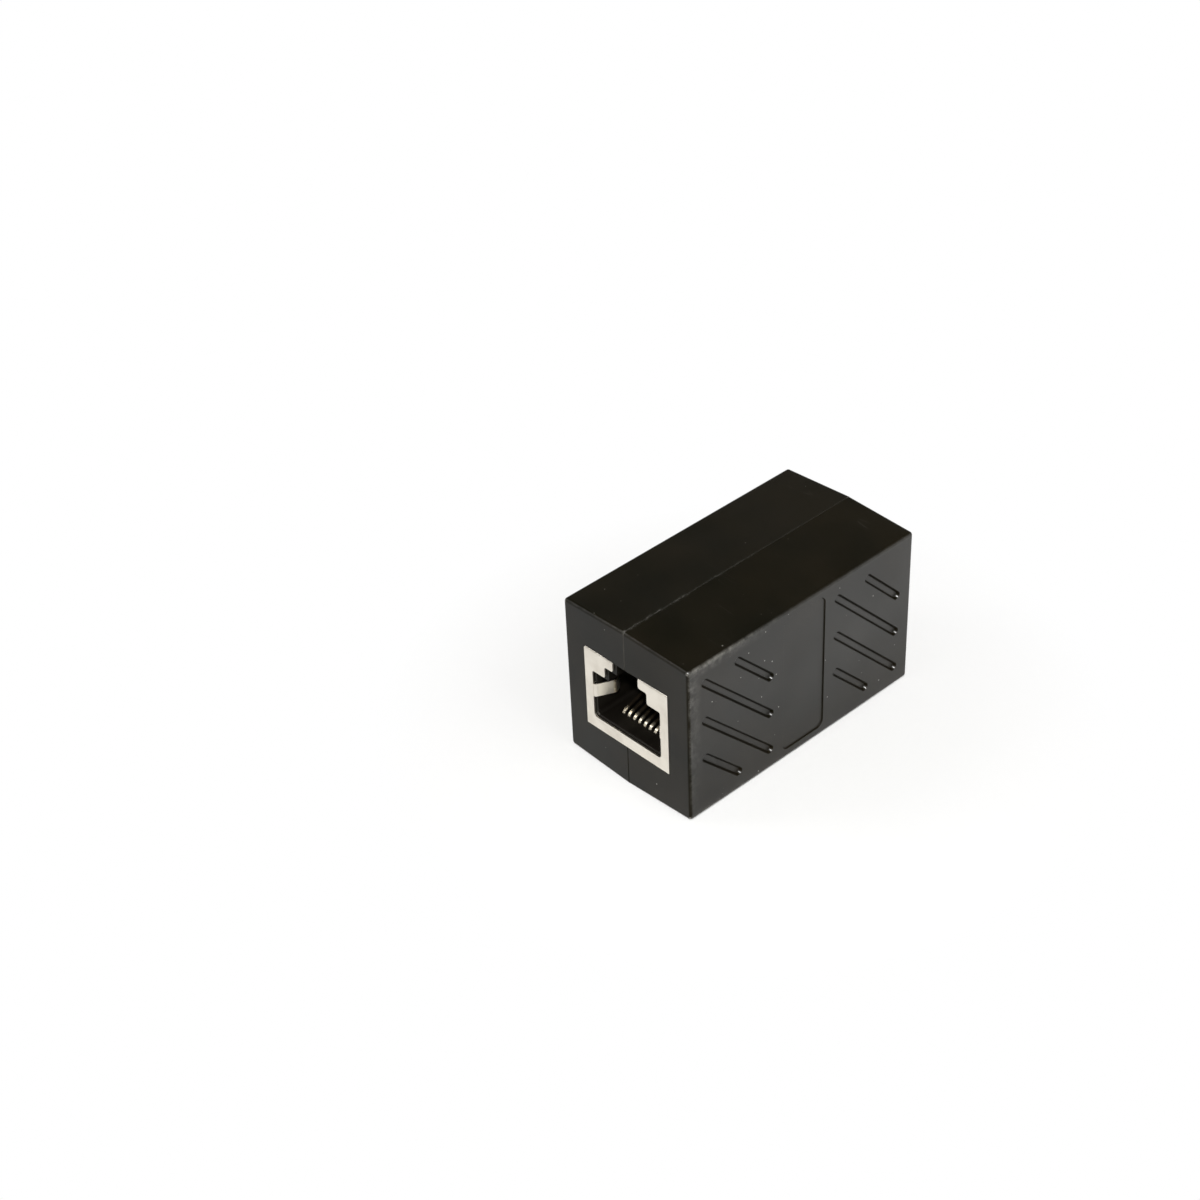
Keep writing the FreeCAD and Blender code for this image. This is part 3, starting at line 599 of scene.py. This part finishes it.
    def smears(self, sheet: NodeSheet, inset: Insets) -> NodeSocket:
        """Smears of dust on a label side, by the upright edge at socket A and under the upper edge.

        Args:
            sheet: The material's nodes.
            inset: Distances in from the outer faces.

        Returns:
            How thick the dust is, from 0 to 1.
        """
        upright = sheet.product(
            sheet.span(inset.from_a, 2.6, 0.5),
            sheet.span(sheet.z, 4.0, 22.0, 0.25, 1.0),
        )
        under_edge = sheet.product(
            sheet.span(inset.level, 1.8, 0.6),
            sheet.span(sheet.y, *self.handled_band),
            sheet.span(sheet.z, 10.0, 16.0, 0.2, 1.0),
        )
        return sheet.product(
            sheet.span(inset.side, 0.25, 0.05),
            sheet.largest(upright, under_edge),
            sheet.span(sheet.noise(1.3, detail=5.0, roughness=0.72), 0.42, 0.72),
            self.smear_strength,
        )

    def painted_corner_highlight(self, sheet: NodeSheet, inset: Insets) -> NodeSocket:
        """A painted highlight: a pale spot painted on each corner at socket A, where the corner glints.

        Args:
            sheet: The material's nodes.
            inset: Distances in from the outer faces.

        Returns:
            How pale the spot is, from 0 to 1.
        """
        # painted highlight: pale colour on the corners at socket A, in place of their glint
        return sheet.product(
            sheet.span(inset.side, 0.5, 0.2),
            sheet.span(inset.from_a, 0.5, 0.2),
            sheet.span(inset.level, 0.6, 0.35),
            sheet.span(sheet.noise(0.35), 0.35, 0.6, 0.2, 0.7),
        )

    def dull_places(self, sheet: NodeSheet, inset: Insets) -> NodeSocket:
        """Where the moulding has hardly any gloss: along its recesses and on its upright corners.

        Args:
            sheet: The material's nodes.
            inset: Distances in from the outer faces.

        Returns:
            1 where it is dull and 0 elsewhere.
        """
        label_rim = sheet.product(
            sheet.span(sheet.along, self.label_to + 1.0, self.label_to),
            sheet.span(sheet.facing_x, 0.97, 0.85),
        )
        walls = sheet.product(
            sheet.largest(sheet.span(sheet.facing_across, 0.25, 0.8), label_rim),
            sheet.span(inset.side, *self.groove_band),
            sheet.span(inset.level, 0.7, 0.9),
            sheet.span(inset.end, 0.7, 0.9),
        )
        corner = sheet.product(
            sheet.span(sheet.facing_x, 0.25, 0.5),
            sheet.span(sheet.facing_y, 0.25, 0.5),
            sheet.span(sheet.facing_z, 0.4, 0.15),
        )
        return sheet.largest(walls, corner)


@dataclass(frozen=True)
class InsertPlastic:
    """Dull brown-black moulding of the socket inserts and contact carriers, with a fine grain."""

    name: str = "insert_plastic"
    tone: Colour = (0.0046, 0.0038, 0.0028)
    pale: Colour = (0.0080, 0.0066, 0.0048)
    dust: Colour = (0.10, 0.095, 0.085)
    gloss: float = 0.42
    shine: float = 0.12
    flow_size: float = 2.2
    flow_draw: float = 0.3
    grain_size: float = 0.09
    grain_depth: float = 0.0016

    def material(self) -> Material:
        """Builds the material.

        A noise drawn out along Y, as the plastic flowed, carries the colour from tone to pale
        and changes the roughness.

        Returns:
            The material.
        """
        sheet = NodeSheet(self.name)
        drawn_place = sheet.scaled(sheet.place, (1.0, self.flow_draw, 1.0))
        flow = sheet.noise(self.flow_size, detail=3.0, roughness=0.55, place=drawn_place)
        colour = sheet.blend(sheet.span(flow, 0.35, 0.7), self.tone, self.pale)
        specks = sheet.specks(size=0.7, share=0.08, reach=0.09)
        sheet.set("Base Color", sheet.blend(specks, colour, self.dust))
        sheet.set("Roughness", sheet.vary(flow, self.gloss - 0.04, self.gloss + 0.08))
        sheet.set("Specular IOR Level", self.shine)
        sheet.relief(sheet.noise(self.grain_size), self.grain_depth)
        return sheet.material


@dataclass(frozen=True)
class TinnedSheet:
    """Tinned sheet metal: pale, a little warm, softly drawn out along its rolling and faintly stained."""

    name: str = "shield_metal"
    tone: Colour = (0.785, 0.74, 0.655)
    dull: Colour = (0.67, 0.625, 0.545)
    finger_tone: Colour = (0.89, 0.84, 0.72)
    gloss: float = 0.3
    gloss_change: float = 0.1
    scuffed: float = 0.5
    face: float = 21.9
    stain_size: float = 2.6
    rolled_size: float = 0.12
    rolled_draw: float = 0.08
    rolled_depth: float = 0.0006

    def material(self) -> Material:
        """Builds the material.

        Stains carry the colour from tone to dull. Behind the face of the shield, on the spring fingers,
        the metal is paler. Scuffs are dull lines.

        Returns:
            The material.
        """
        sheet = NodeSheet(self.name)
        drawn_place = sheet.scaled(sheet.place, (self.rolled_draw, 1.0, 1.0))
        stain = sheet.noise(self.stain_size, detail=4.0, roughness=0.55)
        colour = sheet.blend(sheet.span(stain, 0.38, 0.8), self.tone, self.dull)
        behind_face = sheet.span(sheet.along, self.face - 0.2, self.face - 0.6)
        # a paler colour on the spring fingers behind the shield's face
        colour = sheet.blend(behind_face, colour, self.finger_tone)
        scuff = sheet.product(sheet.hairlines(size=0.8, turn=0.2, width=0.01), self.scuffed)
        sheet.set("Base Color", sheet.blend(scuff, colour, self.dull))
        sheet.set("Metallic", 1.0)
        sheet.set("Roughness", sheet.vary(stain, self.gloss, self.gloss + self.gloss_change))
        sheet.relief(sheet.noise(self.rolled_size, place=drawn_place), self.rolled_depth)
        return sheet.material


@dataclass(frozen=True)
class ContactMetal:
    """Spring bronze with gilding where the plug touches and tin on the tails below. Past the gilding the
    arm is painted near black, as painted shade inside the socket.

    The gilding ends gilt_to from the coupler's middle, and the tin starts at the height
    tin_line.
    """

    name: str = "contact_gilt"
    gilt: Colour = (0.97, 0.89, 0.73)
    thin_gilt: Colour = (0.93, 0.82, 0.62)
    # near black colour that paints the shade on the arm inside the socket
    painted_arm_shade: Colour = (0.060, 0.046, 0.030)
    tin: Colour = (0.72, 0.71, 0.68)
    gloss: float = 0.27
    gloss_change: float = 0.08
    duller: float = 0.18
    tin_line: float = 5.2
    gilt_to: float = 18.15
    cloud_size: float = 0.7
    drawn_size: float = 0.1
    drawn_depth: float = 0.0001

    def material(self) -> Material:
        """Builds the material.

        A noise clouds the gilding and makes the tin's edge uneven. Past the gilding the arm takes a near
        black painted shade. The arm and the tin are duller than the gilding.

        Returns:
            The material.
        """
        sheet = NodeSheet(self.name)
        cloud = sheet.noise(self.cloud_size, detail=3.0)
        colour = sheet.blend(sheet.span(cloud, 0.35, 0.7), self.gilt, self.thin_gilt)
        arm = sheet.span(sheet.along, self.gilt_to + 0.7, self.gilt_to)
        # painted shade: the arm past the gilding, deeper in the socket, is coloured near black
        colour = sheet.blend(arm, colour, self.painted_arm_shade)
        edge = sheet.total(sheet.z, sheet.product(cloud, 0.5))
        tinned = sheet.span(edge, self.tin_line + 0.4, self.tin_line)
        sheet.set("Base Color", sheet.blend(tinned, colour, self.tin))
        sheet.set("Metallic", 1.0)
        clouded = sheet.vary(cloud, self.gloss, self.gloss + self.gloss_change)
        dull = sheet.product(sheet.largest(tinned, arm), self.duller)
        sheet.set("Roughness", sheet.total(clouded, dull))
        drawn_place = sheet.scaled(sheet.place, (1.0, 0.1, 1.0))
        sheet.relief(sheet.noise(self.drawn_size, detail=1.0, place=drawn_place), self.drawn_depth)
        return sheet.material


@dataclass(frozen=True)
class Laminate:
    """Lacquered circuit board: green faces over a glass weave and paler cut edges."""

    name: str = "board_laminate"
    lacquer: Colour = (0.018, 0.115, 0.045)
    light: Colour = (0.035, 0.17, 0.07)
    glass: Colour = (0.27, 0.28, 0.15)
    gloss: Band = (0.22, 0.36)
    weave_rate: float = 9.0
    weave_depth: float = 0.004

    def material(self) -> Material:
        """Builds the material.

        The weave is the sine of x plus the sine of y, each times weave_rate. The faces that look
        up or down are lacquered, and the others show the glass.

        Returns:
            The material.
        """
        sheet = NodeSheet(self.name)
        threads = [sheet.math("SINE", sheet.product(axis, self.weave_rate)) for axis in (sheet.x, sheet.y)]
        weave = sheet.span(sheet.total(*threads), -1.6, 1.6)
        face = sheet.blend(sheet.product(weave, 0.5), self.lacquer, self.light)
        flat = sheet.span(sheet.facing_z, 0.4, 0.6)
        sheet.set("Base Color", sheet.blend(flat, self.glass, face))
        sheet.set("Roughness", sheet.vary(sheet.noise(1.2), *self.gloss))
        sheet.relief(weave, self.weave_depth)
        return sheet.material


@dataclass(frozen=True)
class StudioPaper:
    """Matt white paper with a faint tooth. Away from the coupler's shadow it is seen as plain white."""

    name: str = "studio_paper"
    tone: Colour = (0.93, 0.93, 0.925)
    tooth: Colour = (0.955, 0.955, 0.95)
    tooth_size: float = 0.8
    rough: float = 0.95
    shaded_to: float = 14.0
    white_from: float = 52.0

    def material(self) -> Material:
        """Builds the material.

        Rays from the camera, a glossy surface or a clear one see the lit paper within shaded_to
        of the origin, plain white from white_from on, and a mixture between.

        Returns:
            The material.
        """
        sheet = NodeSheet(self.name)
        tooth = sheet.noise(self.tooth_size, detail=3.0)
        sheet.set("Base Color", sheet.blend(tooth, self.tone, self.tooth))
        sheet.set("Roughness", self.rough)
        sheet.set("Specular IOR Level", 0.0)
        path = sheet.add("LightPath")
        kinds = ("Camera", "Glossy", "Transmission")
        seen = sheet.largest(*(path.outputs[f"Is {kind} Ray"] for kind in kinds))
        away = sheet.add("VectorMath", operation="LENGTH")
        sheet.feed(away.inputs[0], sheet.place)
        plain = sheet.product(seen, sheet.span(away.outputs["Value"], self.shaded_to, self.white_from))
        white = sheet.add("Emission").outputs[0]
        mix = sheet.add("MixShader")
        for socket, value in zip(mix.inputs, (plain, sheet.shader.outputs[0], white)):
            sheet.feed(socket, value)
        sheet.feed(sheet.surface, mix.outputs[0])
        return sheet.material


# Meshes


def dress(piece: Piece, material: Material) -> None:
    """Gives a node of the model or a new piece one material."""
    piece.data.materials.clear()
    piece.data.materials.append(material)


def make_piece(name: str, points: np.ndarray, faces: np.ndarray, flat: np.ndarray) -> Piece:
    """Makes a mesh object at the origin, riding on the coupler.

    Args:
        name: The piece's name.
        points: Rows of X, Y, Z in millimetres.
        faces: Rows of four point numbers.
        flat: For each face, whether it is shaded flat.

    Returns:
        The object.
    """
    mesh = bpy.data.meshes.new(name)
    mesh.from_pydata((points * MM).tolist(), [], faces.tolist())
    mesh.polygons.foreach_set("use_smooth", ~flat)
    mesh.update()
    piece = bpy.data.objects.new(name, mesh)
    bpy.context.collection.objects.link(piece)
    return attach(piece, "root")


@dataclass(frozen=True)
class Lip:
    """The moulded edge of a recess, from the face down to its floor.

    The surface leaves the face on an arc of radius shoulder, goes down a straight wall that
    leans from the face by the angle slope, and runs out level on an arc of radius hollow, a
    little above the recess's floor. Its back runs along the floor and up the recess's wall.
    level is the width of the strip along the rim, and half that of the strip at the foot.
    """

    depth: float
    shoulder: float
    hollow: float
    slope: float
    above_floor: float = 0.004
    level: float = 0.012
    steps: int = 8
    back_faces: int = 3

    def profile(self) -> np.ndarray:
        """The section as rows of (inward from the rim, down from the face), in millimetres.

        With slope s, an arc of radius R runs R sin s along and R (1 - cos s) down, so the wall
        covers the depth that the two arcs leave, divided by sin s.

        Returns:
            The section's points in order, from the rim. The last two lie on the floor.
        """
        turn = np.linspace(0.0, np.radians(self.slope), self.steps)
        arc = np.column_stack([np.sin(turn), 1.0 - np.cos(turn)])
        shoulder = self.shoulder * arc
        fall = self.depth - self.above_floor
        wall = (fall - (self.shoulder + self.hollow) * arc[-1, 1]) / arc[-1, 0]
        run = (self.shoulder + self.hollow) * arc[-1, 0] + wall * np.cos(turn[-1])
        hollow = np.array([run, fall]) - self.hollow * arc[::-1]
        inner = run + 2 * self.level
        back = np.array([[inner, fall], [inner, self.depth], [-self.level, self.depth]])
        return np.vstack([[-self.level, 0.0], shoulder, hollow, back]) + [self.level, 0.0]


@dataclass(frozen=True)
class Outline:
    """A closed outline of arcs of one radius, joined by straight lines, in the plane of Y and Z."""

    centres: np.ndarray
    angles: np.ndarray
    radius: float

    def ring(self, inward: np.ndarray) -> np.ndarray:
        """The outline shrunk by each of several distances.

        A point lies at its arc's centre plus the radius, less the distance, along its angle.

        Args:
            inward: Distances in millimetres.

        Returns:
            Rows of (Y, Z) for each point of the outline and each distance.
        """
        way = np.stack([np.cos(self.angles), np.sin(self.angles)], axis=-1)
        reach = self.radius - inward
        return self.centres[..., None, :] + reach[:, None] * way[..., None, :]


def lip_mesh(outlines: list[Outline], lip: Lip, face: float) -> tuple[np.ndarray, np.ndarray, np.ndarray]:
    """Sweeps a lip round several outlines on a side of the coupler.

    Every outline and the section are closed, so each sweep is a closed ring. Point (i, j) of a
    ring joins on to (i + 1, j) and (i, j + 1), and the last ones to the first.

    Args:
        outlines: The rims, all with the same number of points.
        lip: The section.
        face: X of the side, with its sign.

    Returns:
        Points, faces that look outward, and which faces are flat.
    """
    section = lip.profile()
    side = np.sign(face)
    flat_rings = np.stack([outline.ring(section[:, 0]) for outline in outlines])
    rings, around, across = flat_rings.shape[:3]
    depth = np.broadcast_to(side * (abs(face) - section[:, 1]), (rings, around, across))
    points = np.concatenate([depth[..., None], flat_rings], axis=-1).reshape(-1, 3)
    number = np.arange(rings * around * across).reshape(rings, around, across)
    next_round = np.roll(number, -1, axis=1)
    corners = [number, np.roll(number, -1, axis=2), np.roll(next_round, -1, axis=2), next_round]
    if side > 0:
        corners.reverse()
    faces = np.stack(corners, axis=-1).reshape(-1, 4)
    on_back = np.arange(across) >= across - lip.back_faces
    return points, faces, np.broadcast_to(on_back, (rings, around, across)).reshape(-1)


# Sub-assemblies


@dataclass
class GripGroup:
    """Four slanting grooves with round ends, cut short by a frame round the group."""

    place: float
    middle: float
    radius: float = 0.725
    count: int = 4
    step: float = 6.24
    reach_y: float = 6.1
    reach_z: float = 9.4
    slant: float = np.pi / 4
    arc_steps: int = 17

    def outlines(self) -> list[Outline]:
        """The rims of the grooves.

        Along a groove, Y grows as Z falls. Groove i crosses the group's middle line at half its
        offset, and ends where it meets the frame.

        Returns:
            One outline for each groove, from its upper end round its lower end.
        """
        offset = self.step * (np.arange(self.count) - (self.count - 1) / 2) / 2
        upper = np.maximum(-self.reach_y - offset, offset - self.reach_z)
        lower = np.minimum(self.reach_y - offset, offset + self.reach_z)
        tops, feet = (
            np.column_stack([self.place + offset + run, self.middle + offset - run])
            for run in (upper, lower)
        )
        turn = self.slant + np.linspace(0.0, np.pi, self.arc_steps)
        angles = np.concatenate([turn, turn + np.pi])
        return [
            Outline(np.repeat([top, foot], self.arc_steps, axis=0), angles, self.radius)
            for top, foot in zip(tops, feet)
        ]


@dataclass
class LabelPanel:
    """The shallow recess between the two groups of grooves. It stays bare."""

    middle: float
    width: float = 8.2
    height: float = 22.4
    radius: float = 1.2
    arc_steps: int = 9

    def outline(self) -> Outline:
        """The rim: a rectangle with round corners.

        Corner k turns from k to k + 1 quarter turns, round a centre that lies in from both
        sides by the radius.

        Returns:
            The outline, from the corner toward +Y and +Z.
        """
        half = np.array([self.width / 2 - self.radius, self.height / 2 - self.radius])
        signs = np.array([[1, 1], [-1, 1], [-1, -1], [1, -1]])
        centres = np.repeat(signs * half + [0.0, self.middle], self.arc_steps, axis=0)
        quarter = np.linspace(0.0, np.pi / 2, self.arc_steps)
        angles = (quarter + np.pi / 2 * np.arange(len(signs))[:, None]).reshape(-1)
        return Outline(centres, angles, self.radius)


@dataclass
class HalfShell:
    """A moulded half shell, with the rounded edges of its grip grooves and label recess."""

    half: Half
    nodes: dict[str, Piece]
    finish: Material
    grip_lip: Lip = Lip(depth=0.45, shoulder=0.14, hollow=0.24, slope=65.0)
    panel_lip: Lip = Lip(depth=0.18, shoulder=0.06, hollow=0.08, slope=60.0)
    group_place: float = 12.65
    pieces: list[Piece] = field(default_factory=list)

    @property
    def name(self) -> str:
        """The half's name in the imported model."""
        return "shell_" + self.half.name.lower()

    def build(self) -> None:
        """Makes the lips of the grooves and of the label recess."""
        low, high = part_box(self.name)
        middle = (low.z + high.z) / 2 / MM
        face = (high.x if self.half is Half.RIGHT else low.x) / MM
        grooves = [
            outline
            for end in End
            for outline in GripGroup(self.group_place * end.value, middle).outlines()
        ]
        self.add_piece("grip_lips", grooves, self.grip_lip, face)
        self.add_piece("label_recess_lip", [LabelPanel(middle).outline()], self.panel_lip, face)

    def add_piece(self, name: str, outlines: list[Outline], lip: Lip, face: float) -> None:
        """Makes one swept piece on this half's label side."""
        piece = make_piece(f"{name}_{self.half.name.lower()}", *lip_mesh(outlines, lip, face))
        self.pieces.append(piece)

    def dress(self) -> list[str]:
        """Gives the shell and its lips the casing plastic.

        Returns:
            The names of what was dressed.
        """
        dressed = [self.nodes[self.name], *self.pieces]
        for piece in dressed:
            dress(piece, self.finish)
        return [piece.name for piece in dressed]


@dataclass
class ShieldedSocket:
    """One socket: its metal shield, moulded insert, contact carrier and eight contacts."""

    end: End
    nodes: dict[str, Piece]
    shield: Material
    insert: Material
    contact: Material
    contact_count: int = 8

    def dress(self) -> list[str]:
        """Gives every piece of the socket its material.

        Returns:
            The names of what was dressed.
        """
        letter = self.end.name.lower()
        looks = {
            f"shield_{letter}": self.shield,
            f"insert_{letter}": self.insert,
            f"carrier_{letter}": self.insert,
        }
        looks |= {f"contact_{letter}{number + 1}": self.contact for number in range(self.contact_count)}
        for name, material in looks.items():
            dress(self.nodes[name], material)
        return list(looks)


@dataclass
class CircuitBoard:
    """The board that joins the two sockets."""

    nodes: dict[str, Piece]
    finish: Material

    def dress(self) -> list[str]:
        """Gives the board its laminate, and returns its name."""
        dress(self.nodes["circuit_board"], self.finish)
        return ["circuit_board"]


# Studio


@dataclass(frozen=True)
class Lamp:
    """A soft square lamp that looks at the coupler. Its place and size are in metres."""

    name: str
    place: tuple[float, float, float]
    power: float
    size: float

    def build(self) -> None:
        """Makes the lamp and turns it toward the origin."""
        data = bpy.data.lights.new(self.name, "AREA")
        data.energy = self.power
        data.size = self.size
        lamp = bpy.data.objects.new(self.name, data)
        turn = (-Vector(self.place)).to_track_quat("-Z", "Y").to_matrix().to_4x4()
        lamp.matrix_world = Matrix.Translation(self.place) @ turn
        bpy.context.collection.objects.link(lamp)


@dataclass(frozen=True)
class PaperSweep:
    """White paper: a round floor that curves up into a low wall, higher where the label side faces."""

    name: str = "studio_paper"
    flat: float = 780.0
    inner_rings: tuple[float, ...] = (0.15, 0.5)
    bend: float = 120.0
    bend_steps: int = 9
    wall: float = 70.0
    wall_rings: tuple[float, ...] = (0.5, 1.0)
    tall: float = 330.0
    tall_power: int = 8
    facing: float = 0.73
    steps: int = 96

    def build(self) -> None:
        """Makes the paper as a grid of rings.

        The section runs level to the radius flat, up a quarter circle of radius bend and on
        upright. The upright part is as high as wall, plus tall times the cosine of half the
        angle away from the facing direction, taken to the power tall_power.
        """
        turn = np.linspace(0.0, 2.0 * np.pi, self.steps, endpoint=False)
        quarter = np.linspace(0.0, np.pi / 2, self.bend_steps)
        inner, outer = np.array(self.inner_rings), np.array(self.wall_rings)
        level, upright = np.zeros(inner.size), np.full(outer.size, self.bend)
        curve = self.flat + self.bend * np.sin(quarter)
        reach = np.concatenate([inner * self.flat, curve, self.flat + upright])
        low = np.concatenate([level, self.bend * (1 - np.cos(quarter)), upright])
        share = np.concatenate([level, np.zeros(quarter.size), outer])
        wall = self.wall + self.tall * np.cos((turn - self.facing) / 2) ** self.tall_power
        height = low[:, None] + share[:, None] * wall
        rings = np.stack([reach[:, None] * np.cos(turn), reach[:, None] * np.sin(turn), height], axis=-1)
        number = np.arange(reach.size * self.steps).reshape(reach.size, self.steps) + 1
        after = np.roll(number, -1, axis=1)
        quads = np.stack([number[:-1], number[1:], after[1:], after[:-1]], axis=-1).reshape(-1, 4)
        centre = np.stack([np.zeros(self.steps, int), number[0], after[0]], axis=-1)
        points = np.vstack([[[0.0, 0.0, 0.0]], rings.reshape(-1, 3)]) * MM
        mesh = bpy.data.meshes.new(self.name)
        mesh.from_pydata(points.tolist(), [], quads.tolist() + centre.tolist())
        mesh.polygons.foreach_set("use_smooth", np.ones(len(mesh.polygons), bool))
        paper = bpy.data.objects.new(self.name, mesh)
        bpy.context.collection.objects.link(paper)
        dress(paper, StudioPaper().material())


@dataclass
class Studio:
    """Camera, floor, lamps and world. The camera was solved from the coupler's edges in the photograph.

    The camera's place is in millimetres, its clipping distances in metres.
    """

    camera_place: tuple[float, float, float] = (172.61, -178.33, 202.43)
    camera_right: tuple[float, float, float] = (0.683368, 0.729024, -0.039132)
    camera_down: tuple[float, float, float] = (0.410750, -0.428233, -0.804923)
    lens: float = 67.81
    sensor: float = 36.0
    clip: Band = (0.005, 20.0)
    world_tint: Colour = (1.0, 0.92, 0.68)
    world_level: float = 0.07
    lamps: tuple[Lamp, ...] = (
        Lamp("front", (0.42, -0.45, 0.66), 8.4, 0.055),
        Lamp("left", (-0.55, -0.55, 0.60), 1.0, 0.28),
        Lamp("right", (0.55, 0.05, 0.50), 0.8, 0.35),
    )

    def build(self) -> None:
        """Makes the camera, paper, lamps and world."""
        self.make_camera()
        PaperSweep().build()
        for lamp in self.lamps:
            lamp.build()
        self.make_world()
        bpy.context.scene.view_settings.view_transform = "Standard"

    def make_camera(self) -> None:
        """Places the camera where the photograph's camera stood."""
        data = bpy.data.cameras.new("camera")
        data.lens = self.lens
        data.sensor_width = self.sensor
        data.clip_start, data.clip_end = self.clip
        right = Vector(self.camera_right).normalized()
        down = Vector(self.camera_down)
        up = (-(down - right * down.dot(right))).normalized()
        turn = Matrix((right, up, right.cross(up))).transposed().to_4x4()
        camera = bpy.data.objects.new("camera", data)
        camera.matrix_world = Matrix.Translation(Vector(self.camera_place) * MM) @ turn
        bpy.context.collection.objects.link(camera)
        bpy.context.scene.camera = camera

    def make_world(self) -> None:
        """Makes a dim, even, warm world."""
        world = bpy.data.worlds.new("world")
        bpy.context.scene.world = world
        world.use_nodes = True
        background = world.node_tree.nodes["Background"]
        background.inputs["Color"].default_value = (*self.world_tint, 1.0)
        background.inputs["Strength"].default_value = self.world_level


def main() -> None:
    """Loads the frame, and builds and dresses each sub-assembly in order."""
    logging.basicConfig(level=logging.INFO, format="%(name)s: %(message)s")
    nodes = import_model()["nodes"]
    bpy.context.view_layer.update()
    casing = CasingPlastic().material()
    shield = TinnedSheet().material()
    insert = InsertPlastic().material()
    contact = ContactMetal().material()
    for half in Half:
        shell = HalfShell(half, nodes, casing)
        shell.build()
        LOG.info("%s half: %s", half.name, ", ".join(shell.dress()))
    for end in End:
        socket = ShieldedSocket(end, nodes, shield, insert, contact)
        LOG.info("socket %s: %s", end.name, ", ".join(socket.dress()))
    board = CircuitBoard(nodes, Laminate().material())
    LOG.info("between the sockets: %s", ", ".join(board.dress()))
    Studio().build()


if __name__ == "__main__":
    main()
